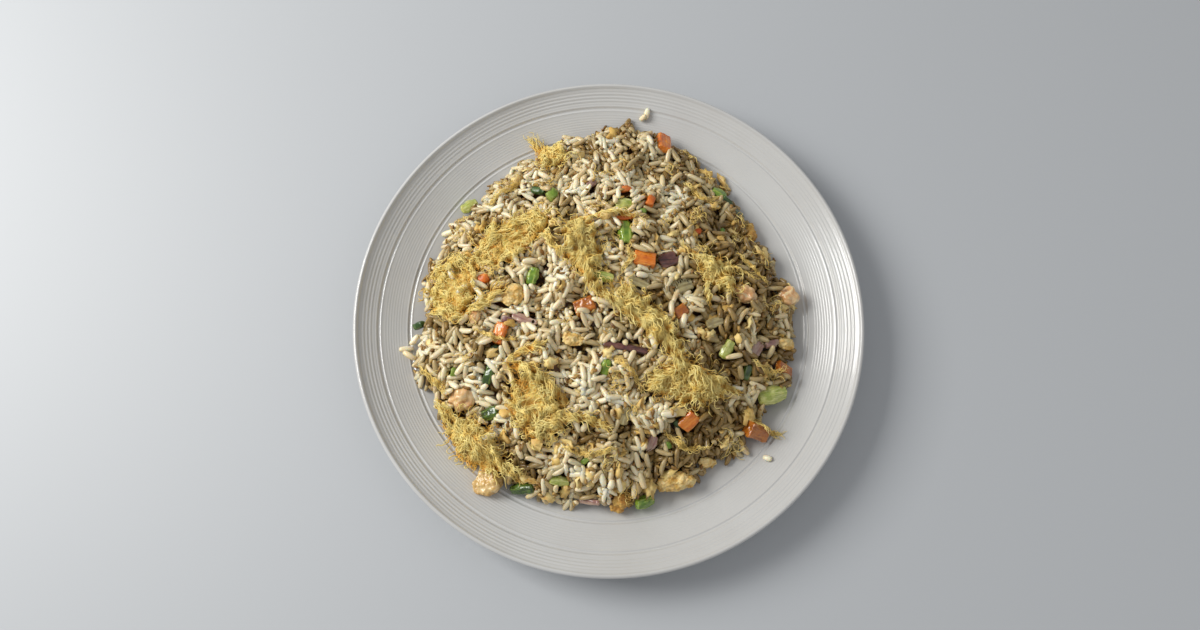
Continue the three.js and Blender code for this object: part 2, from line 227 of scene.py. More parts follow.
def place_group(tree, group, **values):
    node = tree.nodes.new("ShaderNodeGroup")
    node.node_tree = group
    for name, value in values.items():
        node.inputs[name.replace("_", " ")].default_value = value
    return node


def let_light_in(shader, soft, radius, scale_mm):
    """Light enters the food a little and comes out again nearby, reddest farthest."""
    shader.inputs["Subsurface Weight"].default_value = soft
    shader.inputs["Subsurface Radius"].default_value = radius
    shader.inputs["Subsurface Scale"].default_value = scale_mm * MM


def food_material(name, colour_a, colour_b, scale, low, high, grain, depth, roughness, soft=0.0):
    """Two patchy colours under an uneven skin. Soft is how much light passes into the food."""
    material, tree, shader = new_material(name, roughness)
    patches = place_group(tree, PATCHES, Colour_A=colour_a, Colour_B=colour_b, Scale=scale,
                          Low=low, High=high)
    skin = place_group(tree, SKIN, Scale=grain, Depth=depth)
    wire(tree, (patches, "Colour", shader, "Base Color"), (skin, "Normal", shader, "Normal"))
    if soft:
        let_light_in(shader, soft, (1.0, 0.6, 0.35), 1.5)
    return material


# %% [markdown]
# ## Surfaces that everything is laid on
# Two formulas carry the whole job: the height of the plate's upper face, and the height of the
# heap over it. They use the plate's own size from the frame, and work on single numbers and on
# whole arrays alike.

# %% Heights
_, PLATE_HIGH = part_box("plate")
PLATE_RADIUS = PLATE_HIGH[1] / MM
PLATE_HEIGHT = PLATE_HIGH[2] / MM
WELL_RADIUS = 80.0
WELL_HEIGHT = 6.0
HEAP_CENTRE = (-3.0, 2.0)
HEAP_RADIUS = 101.0
HEAP_PEAK = 44.0
HEAP_EDGE = 2.6
OUTLINE_WAVES = [
    (1, 0.8, 0.2), (2, -2.0, 1.5), (3, 0.2, -3.0), (4, 2.0, -1.2), (5, 1.2, -0.3),
    (17, 0.9, -0.7), (26, -0.8, 0.8),
]


def plate_top(radius):
    share = np.maximum(radius - WELL_RADIUS, 0) / (PLATE_RADIUS - WELL_RADIUS)
    return WELL_HEIGHT + (PLATE_HEIGHT - WELL_HEIGHT) * share ** 2


def heap_reach(angle):
    reach = HEAP_RADIUS
    for waves, cosine, sine in OUTLINE_WAVES:
        reach = reach + cosine * np.cos(waves * angle) + sine * np.sin(waves * angle)
    return reach


def swell(x, y):
    return 1.3 * np.sin(x / 11 + 1.1) * np.cos(y / 13) + 0.9 * np.sin(y / 7.5 + x / 23)


def heap_share(x, y):
    dx, dy = x - HEAP_CENTRE[0], y - HEAP_CENTRE[1]
    angle = np.arctan2(dy, dx)
    return np.hypot(dx, dy) / heap_reach(angle), angle


def heap_top(x, y):
    share, angle = heap_share(x, y)
    reach = heap_reach(angle)
    edge_x = HEAP_CENTRE[0] + reach * np.cos(angle)
    edge_y = HEAP_CENTRE[1] + reach * np.sin(angle)
    edge = plate_top(np.hypot(edge_x, edge_y)) + HEAP_EDGE
    rise = np.maximum(1 - np.minimum(share, 1) ** 2.2, 0) ** 0.8
    top = edge + (HEAP_PEAK - edge) * rise + swell(x, y) * np.minimum(1, rise * 2)
    return np.where(share < 1, top, plate_top(np.hypot(x, y)))


print("heap peak", round(float(heap_top(*HEAP_CENTRE)), 1), "mm above the table")

# %% [markdown]
# ## The plate
# A dinner plate is thrown or pressed as a turned shape, so its profile is drawn once and spun
# round. The profile is extruded point by point from a single corner: a flat well, a wall that
# curves up, two turned grooves, and fine ribs between them and the lip. Spinning keeps each rib
# perfectly round, which a displacement would not.

# %% Plate profile
GROOVES_MM = (107.5, 122.8)
GROOVE_HALF = 0.9
GROOVE_DEPTH = 0.45
RIB_BANDS = ((110.2, 120.6, 1.30, 0.05), (124.6, 132.0, 1.64, 0.13))
WALL = 3.8
LIP = 1.45
FOOT_OUTER, FOOT_INNER, FOOT_RECESS = 76.0, 70.0, 2.2
SPIN_STEPS = 240


def rib_relief(radius):
    """How far a rib stands up, or a groove sinks, at a radius on the upper face."""
    for groove in GROOVES_MM:
        off = abs(radius - groove)
        if off < 2 * GROOVE_HALF:
            dip = -GROOVE_DEPTH * max(0, 1 - (off / GROOVE_HALF) ** 2)
            lift = 0.16 * math.exp(-((off - 1.3 * GROOVE_HALF) / 0.35) ** 2)
            return dip + lift
    for inner, outer, pitch, height in RIB_BANDS:
        if inner <= radius <= outer:
            fade = min(1, (radius - inner) / pitch, (outer - radius) / pitch)
            return height * fade * math.sin(2 * math.pi * (radius - inner) / pitch)
    return 0.0


def plate_profile():
    points = [(0, WELL_HEIGHT), (60, WELL_HEIGHT), (WELL_RADIUS, WELL_HEIGHT)]
    for radius in np.arange(84, 104.1, 4):
        points.append((radius, plate_top(radius)))
    for radius in np.arange(105.0, 132.6, 0.27):
        points.append((radius, plate_top(radius) + rib_relief(radius)))
    middle = (PLATE_RADIUS - LIP, PLATE_HEIGHT - LIP)
    for degrees in range(110, -71, -20):
        angle = math.radians(degrees)
        points.append((middle[0] + LIP * math.cos(angle), middle[1] + LIP * math.sin(angle)))
    for radius in np.arange(130, 84, -5):
        points.append((radius, plate_top(radius) - WALL))
    points += [(FOOT_OUTER + 2.2, WELL_HEIGHT - WALL), (FOOT_OUTER + 0.4, 0.6)]
    points += [(FOOT_OUTER - 0.3, 0), (FOOT_INNER + 0.3, 0), (FOOT_INNER - 0.6, 0.7)]
    points += [(FOOT_INNER - 2, FOOT_RECESS), (40, FOOT_RECESS), (0, FOOT_RECESS)]
    return points


def spin_profile(name, points_mm, steps):
    """Extrudes a chain of corners through the points and spins it about the vertical axis."""
    deselect()
    bpy.ops.mesh.primitive_plane_add(size=MM)
    piece = bpy.context.object
    piece.name = name
    bpy.ops.object.mode_set(mode="EDIT")
    bpy.ops.mesh.merge(type="CENTER")
    first = points_mm[0]
    bpy.ops.transform.translate(value=(first[0] * MM, 0, first[1] * MM))
    for before, after in zip(points_mm, points_mm[1:]):
        step = ((after[0] - before[0]) * MM, 0, (after[1] - before[1]) * MM)
        bpy.ops.mesh.extrude_region_move(TRANSFORM_OT_translate={"value": step})
    bpy.ops.mesh.select_all(action="SELECT")
    bpy.ops.mesh.spin(steps=steps, angle=2 * math.pi, center=(0, 0, 0), axis=(0, 0, 1))
    bpy.ops.mesh.select_all(action="SELECT")
    bpy.ops.mesh.remove_doubles(threshold=0.01 * MM)
    bpy.ops.mesh.normals_make_consistent(inside=False)
    bpy.ops.object.mode_set(mode="OBJECT")
    bpy.ops.object.shade_smooth()
    return piece


plate = spin_profile("ribbed_plate", plate_profile(), SPIN_STEPS)
plate_material, tree, shader = new_material("white glaze", 0.22)
patches = place_group(tree, PATCHES, Colour_A=linear(200, 200, 198), Colour_B=linear(193, 192, 189),
                      Scale=18.0, Low=0.35, High=0.65)
skin = place_group(tree, SKIN, Scale=120.0, Depth=0.04)
wire(tree, (patches, "Colour", shader, "Base Color"), (skin, "Normal", shader, "Normal"))
shader.inputs["Coat Weight"].default_value = 0.3
shader.inputs["Coat Roughness"].default_value = 0.08
plate.data.materials.append(plate_material)
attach(plate, "root")
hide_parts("plate")
print("plate:", len(plate.data.polygons), "faces")

# %% [markdown]
# ## Finishing a piece
# Each finished piece keeps its object at the origin, rides on the body, and hides the measured
# nodes that it stands for.

# %% Helpers for pieces
def settle(piece, material, nodes=()):
    piece.data.materials.clear()
    piece.data.materials.append(material)
    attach(piece, "root")
    if nodes:
        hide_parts(*nodes)
    return piece


def apply_modifier(piece, kind, **values):
    modifier = piece.modifiers.new(kind.lower(), kind)
    for name, value in values.items():
        setattr(modifier, name, value)
    bpy.context.view_layer.objects.active = piece
    bpy.ops.object.modifier_apply(modifier=modifier.name)


def cloud_texture(name, size_mm, depth=2):
    texture = bpy.data.textures.new(name, "CLOUDS")
    texture.noise_scale = size_mm * MM
    texture.noise_depth = depth
    return texture


def mesh_piece(name, points_mm, loops, totals, **layers):
    """One smooth mesh from its corners, the faces between them, and values for the corners."""
    mesh = bpy.data.meshes.new(name)
    mesh.vertices.add(len(points_mm))
    mesh.vertices.foreach_set("co", (points_mm * MM).ravel())
    mesh.loops.add(len(loops))
    mesh.loops.foreach_set("vertex_index", loops)
    mesh.polygons.add(len(totals))
    mesh.polygons.foreach_set("loop_start", np.concatenate([[0], np.cumsum(totals)[:-1]]))
    mesh.polygons.foreach_set("loop_total", totals)
    mesh.update(calc_edges=True)
    for layer_name, values in layers.items():
        kind, field = ("FLOAT_VECTOR", "vector") if values.ndim > 1 else ("FLOAT", "value")
        mesh.attributes.new(layer_name, kind, "POINT").data.foreach_set(field, values.ravel())
    mesh.polygons.foreach_set("use_smooth", np.ones(len(totals), dtype=bool))
    piece = bpy.data.objects.new(name, mesh)
    bpy.context.scene.collection.objects.link(piece)
    return piece


def corners_mm(piece):
    corners = np.empty(len(piece.data.vertices) * 3)
    piece.data.vertices.foreach_get("co", corners)
    return corners.reshape(-1, 3) / MM


# %% [markdown]
# ## Small models
# Grains, crumbs and scraps are modelled once each, as small balls whose corners are moved by a
# formula, and then laid many times. All copies of a kind go into one mesh, because thousands of
# separate objects would be slow. Each copy carries its own tint from 0 to 1 for its material.

# %% Models of a grain, a crumb and a flake
def model_ball(name, segments, rings, shape):
    """A small ball drawn out along X, with its corners moved by a function of their place."""
    deselect()
    bpy.ops.mesh.primitive_uv_sphere_add(segments=segments, ring_count=rings, radius=1)
    ball = bpy.context.object
    ball.name = name
    bpy.ops.object.mode_set(mode="EDIT")
    bpy.ops.mesh.select_all(action="SELECT")
    bpy.ops.transform.rotate(value=math.pi / 2, orient_axis="Y", center_override=(0, 0, 0))
    bpy.ops.object.mode_set(mode="OBJECT")
    for vertex in ball.data.vertices:
        vertex.co = shape(vertex.co)
    corners = np.array([tuple(vertex.co) for vertex in ball.data.vertices])
    faces = [tuple(face.vertices) for face in ball.data.polygons]
    bpy.data.objects.remove(ball)
    return corners, faces


def grain_shape(bow, taper):
    """A blunt rod, bowed a little, with one end thinner than the other."""
    def shape(place):
        ring = math.hypot(place.y, place.z)
        fuller = ring ** -0.36 if ring > 0.01 else 1
        fuller *= 1 - taper * place.x
        return Vector((place.x, place.y * fuller, place.z * fuller * 0.85 - bow * place.x ** 2))
    return shape


def craggy_shape(seed, depth):
    """A crumb: a ball swollen and pulled about by noise."""
    def shape(place):
        swollen = 1 + depth * noise.noise(place * 1.9 + Vector((seed, 0, 0)))
        pull = noise.noise_vector(place * 2.8 + Vector((0, seed, 0)))
        return place * swollen + 0.3 * depth * pull
    return shape


def chopped_shape(seed):
    """A cut scrap: a ball pushed out towards a block, and made uneven."""
    def shape(place):
        block = Vector([math.copysign(abs(value) ** 0.5, value) for value in place])
        return block * (0.9 + 0.35 * noise.noise(place * 1.4 + Vector((seed, 0, 0))))
    return shape


def curled_shape(seed):
    """A thin torn leaf: a flattened ball with a ragged rim and a wave through it."""
    def shape(place):
        angle = math.atan2(place.y, place.x)
        rim = 1 + 0.75 * noise.noise(Vector((2.2 * math.cos(angle), 2.2 * math.sin(angle), seed)))
        lift = 0.5 * math.sin(2.4 * place.x + seed)
        lift += 0.7 * noise.noise(place * 1.6 + Vector((seed, 0, 0)))
        return Vector((place.x * rim, place.y * rim, 0.30 * place.z + 0.8 * lift))
    return shape


BOWS_AND_TAPERS = ((0.10, 0.08), (0.50, 0.03), (-0.35, 0.12), (0.20, -0.06))


def model_set(name, segments, rings, shapes):
    return [model_ball(name, segments, rings, shape) for shape in shapes]


grain_models = model_set("grain", 6, 7, [grain_shape(*form) for form in BOWS_AND_TAPERS])
crumb_models = model_set("crumb", 9, 7, [craggy_shape(seed, 1.1) for seed in (1.3, 5.1, 9.7, 14.2)])
flake_models = model_set("flake", 9, 7, [curled_shape(seed) for seed in (0.4, 2.9, 7.7, 4.4)])
scrap_models = model_set("scrap", 14, 10, [chopped_shape(seed) for seed in (0.7, 3.3, 6.1, 8.8)])
bit_models = model_set("bit", 6, 4, [craggy_shape(seed, 0.9) for seed in (2.3, 4.1, 8.7, 11.2)])
print("small models:", len(grain_models), "grains with", len(grain_models[0][1]), "faces each")


# %% Many copies in one mesh
def joined(name, models, turns, middles, tint):
    """One mesh of many copies of a few models, each turned and sized by its own matrix."""
    faces = models[0][1]
    corners = np.array([model[0] for model in models])
    count, size = len(middles), corners.shape[1]
    pick = np.arange(count) % len(models)
    points = np.einsum("nij,nvj->nvi", turns, corners[pick]) + middles[:, None, :]
    flat = np.array([corner for face in faces for corner in face])
    loops = (flat[None, :] + size * np.arange(count)[:, None]).ravel()
    return mesh_piece(
        name, points.reshape(-1, 3), loops, np.tile([len(face) for face in faces], count),
        tint=np.repeat(tint, size),
        own=(corners[pick] + 7 * tint[:, None, None]).reshape(-1, 3),
        tip=np.abs(corners[pick][:, :, 0]).ravel() ** 3,
    )


def lain_turns(rows, flatness=1.0):
    """For each row, the matrix that sizes, rolls, tips and turns the model."""
    yaw, slope, length, radius, roll = rows[:, 3], rows[:, 4], rows[:, 5], rows[:, 6], rows[:, 7]
    pitch = np.arctan(slope)
    along = np.stack([np.cos(yaw) * np.cos(pitch), np.sin(yaw) * np.cos(pitch), np.sin(pitch)], 1)
    side = np.stack([-np.sin(yaw), np.cos(yaw), np.zeros(len(rows))], 1)
    up = np.cross(along, side)
    rolled_side = side * np.cos(roll)[:, None] + up * np.sin(roll)[:, None]
    rolled_up = up * np.cos(roll)[:, None] - side * np.sin(roll)[:, None]
    return np.stack([
        along * (length / 2)[:, None],
        rolled_side * radius[:, None],
        rolled_up * (radius * flatness)[:, None],
    ], axis=2)


# %% [markdown]
# ## The toppings
# The frame holds a plain solid for each piece of carrot, green, onion, shrimp and egg. A copy is
# welded, rebuilt as an even mesh of small faces with the Remesh modifier, and rounded. Displace
# modifiers then give it the knife-cut, wrinkled or crumbly surface of the real thing. Working on a
# copy keeps every piece exactly where the frame has it.

# %% Dress one solid
LUMPS = cloud_texture("lumps", 9.0)
KNOBS = cloud_texture("knobs", 4.0)
CRAGS = cloud_texture("crags", 1.2)


def own_axes(piece):
    """Stores each corner's place along, across and above its own piece, in millimetres."""
    corners = corners_mm(piece)
    middle = corners.mean(axis=0)
    spread = np.linalg.svd(corners - middle, full_matrices=False)[2]
    own = (corners - middle) @ spread.T
    layer = piece.data.attributes.new("own", "FLOAT_VECTOR", "POINT")
    layer.data.foreach_set("vector", own.ravel())


def dress(node, voxel_mm, rounding, lumps_mm, knobs_mm, crags_mm):
    """A finer copy of a measured solid, rounded and made uneven at three sizes."""
    deselect()
    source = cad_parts[node]
    piece = bpy.data.objects.new("dressed_" + node, source.data.copy())
    bpy.context.scene.collection.objects.link(piece)
    piece.data.materials.clear()
    bpy.context.view_layer.objects.active = piece
    piece.select_set(True)
    bpy.ops.object.mode_set(mode="EDIT")
    bpy.ops.mesh.select_all(action="SELECT")
    bpy.ops.mesh.remove_doubles(threshold=0.001 * MM)
    bpy.ops.object.mode_set(mode="OBJECT")
    apply_modifier(piece, "REMESH", mode="VOXEL", voxel_size=voxel_mm * MM)
    apply_modifier(piece, "SMOOTH", factor=0.5, iterations=rounding)
    for texture, depth_mm in ((LUMPS, lumps_mm), (KNOBS, knobs_mm), (CRAGS, crags_mm)):
        apply_modifier(piece, "DISPLACE", texture=texture, texture_coords="GLOBAL",
                       strength=depth_mm * MM, mid_level=0.5)
    bpy.ops.object.shade_smooth()
    own_axes(piece)
    return piece


# %% [markdown]
# Carrot is cut into dice, so its edges stay fairly crisp and its faces nearly flat. It is wet with
# oil, which shows as small bright highlights. Cooked greens are softer, shiny and finely streaked
# along the stalk. Onion is thin, smooth and half clear. Shrimp is smooth and plump, and scrambled
# egg is dull and crumbly. The streaks follow each piece's own length, which is stored on the mesh.

# %% Streaks along a piece
def make_streaks():
    sockets = {"Colour": None, "Streak Colour": None, "Scale": 1.0, "Low": 0.5, "High": 0.7}
    group, inputs, outputs = new_group("streaks along the piece", sockets, {"Colour": "Color"})
    own = attribute_node(group, "own")
    stretch = group.nodes.new("ShaderNodeMapping")
    stretch.inputs["Scale"].default_value = (0.10, 1.0, 1.0)
    wire(group, (own, "Vector", stretch, "Vector"))
    clouds = cloud_node(group, inputs, stretch.outputs["Vector"], 2)
    mix_by_clouds(group, inputs, outputs, clouds, "Colour", "Streak Colour")
    return group


STREAKS = make_streaks()
print("shared group:", STREAKS.name)


def streaked_material(name, colour_a, colour_b, streak, scale, depth, roughness, soft, gloss=0.0):
    """Two patchy colours crossed by streaks that run along the piece, under a wet skin."""
    material, tree, shader = new_material(name, roughness)
    patches = place_group(tree, PATCHES, Colour_A=colour_a, Colour_B=colour_b, Scale=220.0,
                          Low=0.38, High=0.62)
    streaks = place_group(tree, STREAKS, Streak_Colour=streak, Scale=scale, Low=0.48, High=0.66)
    skin = place_group(tree, SKIN, Scale=700.0, Depth=depth)
    wire(tree, (patches, "Colour", streaks, "Colour"), (streaks, "Colour", shader, "Base Color"),
         (skin, "Normal", shader, "Normal"))
    shader.inputs["Coat Weight"].default_value = gloss
    shader.inputs["Coat Roughness"].default_value = 0.12
    let_light_in(shader, soft, (1.0, 0.8, 0.4), 2.0)
    return material


# %% Topping materials
# For each look: two patchy colours and the streaks', then the streaks' scale, the depth of the
# skin, the roughness, how much light passes in, and the gloss.
# The darker carrot look is a shaded copy of the bright carrot: painted shade for the carrot pieces
# that lie in shade.
STREAKED_LOOKS = {
    "bright carrot": ((226, 130, 40), (202, 100, 24), (232, 150, 62), 0.9, 0.5, 0.25, 0.2, 0.5),
    "carrot in painted shade": ((184, 106, 26), (148, 78, 16), (190, 118, 38), 0.9, 0.5, 0.25, 0.15, 0.5),
    "pale green": ((190, 192, 104), (150, 166, 66), (212, 212, 140), 1.1, 0.3, 0.24, 0.35, 0.5),
    "mid green": ((128, 156, 48), (86, 122, 30), (164, 182, 82), 1.1, 0.3, 0.24, 0.25, 0.5),
    "dark green": ((66, 94, 26), (40, 60, 18), (98, 122, 42), 1.1, 0.4, 0.24, 0.08, 0.6),
    "purple onion": ((92, 48, 46), (122, 80, 66), (62, 34, 32), 0.8, 0.25, 0.24, 0.15, 0.6),
    "pink onion": ((188, 160, 140), (168, 134, 116), (148, 104, 96), 0.8, 0.25, 0.24, 0.4, 0.6),
    "pale onion": ((164, 150, 104), (138, 122, 80), (180, 168, 122), 0.7, 0.25, 0.24, 0.4, 0.6),
    "cream shrimp": ((216, 184, 122), (200, 158, 92), (224, 194, 138), 0.5, 0.35, 0.28, 0.35, 0.4),
    "shrimp": ((228, 194, 142), (214, 160, 104), (234, 208, 160), 0.5, 0.35, 0.28, 0.35, 0.4),
}
looks = {name: streaked_material(name, *linears(*row[:3]), *row[3:])
         for name, row in STREAKED_LOOKS.items()}
egg_numbers = (240, 0.40, 0.62, 1100, 0.5, 0.45)
looks["egg"] = food_material("egg", *linears((234, 208, 144), (212, 168, 84)), *egg_numbers, 0.25)
looks["deep egg"] = food_material("deep egg", *linears((212, 170, 88), (182, 128, 50)),
                                  *egg_numbers, 0.2)
print("topping looks:", len(looks))
# For each kind: voxel, rounds of smoothing, then the depth of lumps, knobs and crags, in mm.
DRESSING = {
    "carrot": (0.38, 2, 0.6, 0.5, 0.3),
    "green": (0.40, 5, 1.0, 0.8, 0.25),
    "onion": (0.38, 4, 0.8, 0.7, 0.15),
    "shrimp": (0.45, 7, 6.5, 2.0, 0.4),
    "egg": (0.42, 3, 2.5, 2.8, 1.7),
    "floss": (0.60, 3, 7.0, 4.6, 1.2),
}
# For each kind: the numbers of its special pieces, and last the look of all the others.
LOOKS = {
    "carrot": [("carrot in painted shade", (3, 5, 6, 8)), ("bright carrot", None)],
    "green": [("dark green", (5, 9, 10, 11, 14, 16)), ("mid green", (3, 4, 6, 8, 13)),
              ("pale green", None)],
    "onion": [("purple onion", (1, 2)), ("pink onion", (3, 4, 5, 6)), ("pale onion", None)],
    "shrimp": [("cream shrimp", (5,)), ("shrimp", None)],
    "egg": [("deep egg", (3, 5)), ("egg", None)],
}


def look_of(kind, number):
    for look, numbers in LOOKS[kind]:
        if numbers is None or number in numbers:
            return looks[look]


# %% Dress every topping
toppings = []
for node in sorted(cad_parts):
    kind, _, number = node.rpartition("_")
    if kind in LOOKS:
        piece = dress(node, *DRESSING[kind])
        toppings.append(settle(piece, look_of(kind, int(number)), [node]))
print("toppings:", len(toppings), "with", sum(len(p.data.polygons) for p in toppings), "faces")

# %% [markdown]
# ## Egg floss, first the wads
# The golden floss is egg poured in threads into hot oil. It lies in loose wads. A wad is modelled
# as a craggy golden lump, which fills it up, and later hundreds of fine threads over it. The lump
# is drawn in a little, so that the threads cover it.

# %% Matted threads as a shader group
def make_swirls():
    """Noise pulled into curls, as a mask for colour and as a bump."""
    sockets = {"Scale": 500.0}
    results = {"Mask": "Float", "Normal": "Vector"}
    group, inputs, outputs = new_group("matted threads", sockets, results)
    place = group.nodes.new("ShaderNodeTexCoord").outputs["Object"]
    swirls = cloud_node(group, inputs, place, 3)
    swirls.inputs["Distortion"].default_value = 3.5
    spread = group.nodes.new("ShaderNodeMapRange")
    spread.inputs["From Min"].default_value = 0.36
    spread.inputs["From Max"].default_value = 0.64
    bump = group.nodes.new("ShaderNodeBump")
    bump.inputs["Distance"].default_value = 0.8 * MM
    bump.inputs["Strength"].default_value = 0.8
    wire(group, (swirls, "Fac", spread, "Value"), (spread, "Result", bump, "Height"),
         (spread, "Result", outputs, "Mask"), (bump, "Normal", outputs, "Normal"))
    return group


def add_sheen(shader, weight):
    """The soft glow of many fine fibres, which are brightest where they are seen from the side."""
    shader.inputs["Sheen Weight"].default_value = weight
    shader.inputs["Sheen Roughness"].default_value = 0.7
    shader.inputs["Sheen Tint"].default_value = linear(255, 228, 140)


floss_core, tree, shader = new_material("floss depth", 0.55)
swirls = place_group(tree, make_swirls(), Scale=420.0)
patches = place_group(tree, PATCHES, Colour_A=linear(255, 206, 82), Colour_B=linear(244, 166, 42),
                      Scale=150.0, Low=0.4, High=0.6)
strands = mix_node(tree, None, linear(255, 240, 154))
wire(tree, (swirls, "Mask", strands, "Factor"), (patches, "Colour", strands, "A"),
     (strands, "Result", shader, "Base Color"), (swirls, "Normal", shader, "Normal"))
add_sheen(shader, 0.8)
let_light_in(shader, 0.25, (1.0, 0.7, 0.3), 1.5)

# %% Floss wads
WAD_SHRINK = 0.3
wads = {}
for node in sorted(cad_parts):
    if node.startswith("floss"):
        wad = dress(node, *DRESSING["floss"])
        apply_modifier(wad, "DISPLACE", strength=-WAD_SHRINK * MM, mid_level=0)
        wads[node] = settle(wad, floss_core, [node])
print("floss wads:", len(wads))

# %% [markdown]
# ## Scraps of topping
# Smaller scraps of the same foods lie half sunk between the toppings. Each is a chopped block, or
# for egg a craggy crumb, laid along the slope of the heap and a little proud of the rice, so that
# it shows. Their material, which the grains share, tints each copy by its own number.

# %% Tinted material
TIP_STAIN = 0.25


def tinted_material(name, pale, deep, stained, roughness, soft, depth=0.25, scale=120.0):
    """Pale to deep with each grain's own tint, with stains in patches and towards the tips."""
    material, tree, shader = new_material(name, roughness)
    tint = attribute_node(tree, "tint")
    tip = attribute_node(tree, "tip")
    own = mix_node(tree, pale, deep)
    patches = place_group(tree, PATCHES, Colour_B=stained, Scale=scale, Low=0.46, High=0.76)
    weaker = tree.nodes.new("ShaderNodeMath")
    weaker.operation = "MULTIPLY"
    weaker.inputs[1].default_value = TIP_STAIN
    ends = mix_node(tree, None, stained)
    skin = place_group(tree, SKIN, Scale=900.0, Depth=depth)
    wire(tree, (tint, "Fac", own, "Factor"), (own, "Result", patches, "Colour A"),
         (patches, "Colour", ends, "A"), (tip, "Fac", weaker, 0), (weaker, "Value", ends, "Factor"),
         (ends, "Result", shader, "Base Color"), (skin, "Normal", shader, "Normal"))
    let_light_in(shader, soft, (1.0, 0.75, 0.45), 1.9)
    return material


# %% Scraps
SCRAP_LIFT = 1.6
# For each piece: its slot, its three colours, then the scraps, each as x, y, length, width, height
# in millimetres and its turn in degrees.
SCRAPS = {
    "scrap_carrot": ("carrot", ((222, 116, 34), (188, 74, 14), (232, 150, 76)), [
        (-65, 15, 6, 5.5, 5, 20), (22, 57, 7, 5, 5, 70), (8, 47, 12, 3.2, 3, 10),
        (9, 64, 6.5, 3.5, 4, 10), (47, 41, 4, 3, 3, 30)]),
    "scrap_green": ("green", ((120, 148, 52), (78, 112, 30), (170, 182, 96)), [
        (-30, 62, 6.5, 6, 5, 50), (-80, -32, 5, 3.5, 4, 80), (18, 51, 4, 3, 3, 0),
        (-12, -78, 5, 3, 3, 30), (30, -70, 4, 2.5, 3, 120), (61, 44, 4, 3, 3, 70)]),
    "scrap_leaf": ("green", ((54, 82, 34), (34, 56, 26), (92, 116, 60)), [
        (-38, 66, 9, 4, 3, -20), (-101, -5, 8, 4, 4, 10), (66, 66, 8, 4, 3, -30),
        (-58, -22, 4, 3, 3, 40), (34, -60, 5, 3, 3, -50)]),
    "scrap_egg": ("egg", ((250, 230, 162), (232, 196, 112), (206, 156, 80)), [
        (-29, -31, 7, 5.5, 5, 30), (-50, 76, 7, 6, 5, 70), (-60, -24, 8, 5, 4.5, 15),
        (-29, 44, 6.5, 5, 4.5, 40), (47, -15, 7, 4, 4, -50), (65, 80, 9, 4, 4, -60),
        (30, -84, 9, 5, 4, 25), (-22, -92, 8, 6, 4, 60), (58, 60, 7, 4, 3, 20)]),
    "scrap_onion": ("onion", ((152, 116, 108), (112, 68, 70), (190, 168, 140)), [
        (85, -17, 9, 4, 3, 20), (-9, 68, 6, 4, 3, 40), (28, -20, 9, 5, 2.5, 70),
        (-52, -8, 7, 4, 2.5, -20)]),
}
SCRAP_ROLL = 0.2


def scrap_rows(table):
    rows = []
    for x, y, length, width, height, turn in table:
        yaw = math.radians(turn)
        step_x, step_y = 2 * math.cos(yaw), 2 * math.sin(yaw)
        slope = float(heap_top(x + step_x, y + step_y) - heap_top(x - step_x, y - step_y)) / 4
        middle = float(heap_top(x, y)) + SCRAP_LIFT
        rows.append((x, y, middle, yaw, slope, length, width / 2, SCRAP_ROLL, height / width))
    return np.array(rows)


scraps = []
for name, (slot, colours, table) in SCRAPS.items():
    rows = scrap_rows(table)
    tint = np.linspace(0.1, 0.9, len(rows))
    models = crumb_models if slot == "egg" else scrap_models
    piece = joined(name, models, lain_turns(rows, rows[:, 8]), rows[:, :3], tint)
    settle(piece, tinted_material(name, *linears(*colours), 0.3, 0.2, 0.5, 260.0))
    scraps.append(piece)
print("scraps:", sum(len(entry[2]) for entry in SCRAPS.values()))

# %% [markdown]
# ## The dark heart of the heap
# Between the grains one looks down into shade. A dome a few millimetres under the surface closes
# the heap. It is coloured a dark brown, partly the brown of sauce-stained rice and partly painted
# shade, so that gaps read as depth. It starts as a sphere whose upper half is moved onto the
# lowered heap and whose lower half is moved onto the plate.

# %% Core
CORE_DEPTH = 6.0
CORE_SHARE = 0.955
CORE_CLEAR = 0.4
CORE_UNDERSIDE = 0.3  # how far its lower face stays over the plate
CORE_THINNEST = 0.2


def core_top(x, y):
    share, _ = heap_share(x, y)
    depth = CORE_DEPTH * np.clip((1.02 - share) / 0.12, 0, 1)
    return np.maximum(heap_top(x, y) - depth, plate_top(np.hypot(x, y)) + CORE_CLEAR)


deselect()
bpy.ops.mesh.primitive_uv_sphere_add(segments=160, ring_count=96, radius=1)
core = bpy.context.object
core.name = "rice_core"
for vertex in core.data.vertices:
    flat = min(1, 2 * math.asin(min(1, math.hypot(vertex.co.x, vertex.co.y))) / math.pi)
    angle = math.atan2(vertex.co.y, vertex.co.x)
    reach = CORE_SHARE * flat * heap_reach(angle)
    x = HEAP_CENTRE[0] + reach * math.cos(angle)
    y = HEAP_CENTRE[1] + reach * math.sin(angle)
    floor = plate_top(math.hypot(x, y)) + CORE_UNDERSIDE
    rough = noise.noise(Vector((x / 3, y / 3, 0)))
    over = max(core_top(x, y) + rough, floor + CORE_THINNEST)
    height = over if vertex.co.z > 0 else floor
    vertex.co = (x * MM, y * MM, height * MM)
bpy.ops.object.shade_smooth()
# The core's dark browns are painted shade for the gaps between the grains, over the brown of
# sauce-stained rice.
core_material = food_material("shaded rice", *linears((96, 58, 18), (50, 28, 6)), 260, 0.4, 0.6,
                              700, 0.6, 0.7)
settle(core, core_material, ["rice_heap"])
print("core:", len(core.data.polygons), "faces")

# %% [markdown]
# ## Grains of rice
# Thousands of grains are laid one at a time onto a height map, as if dropped. Each grain comes to
# rest on the two highest places under its length, so it tips and bridges as a real one does, and
# it then raises the map for the next. The heap grows where it is still lowest until it reaches
# the wanted surface. All grains are copies of four models, which differ in bow and taper.

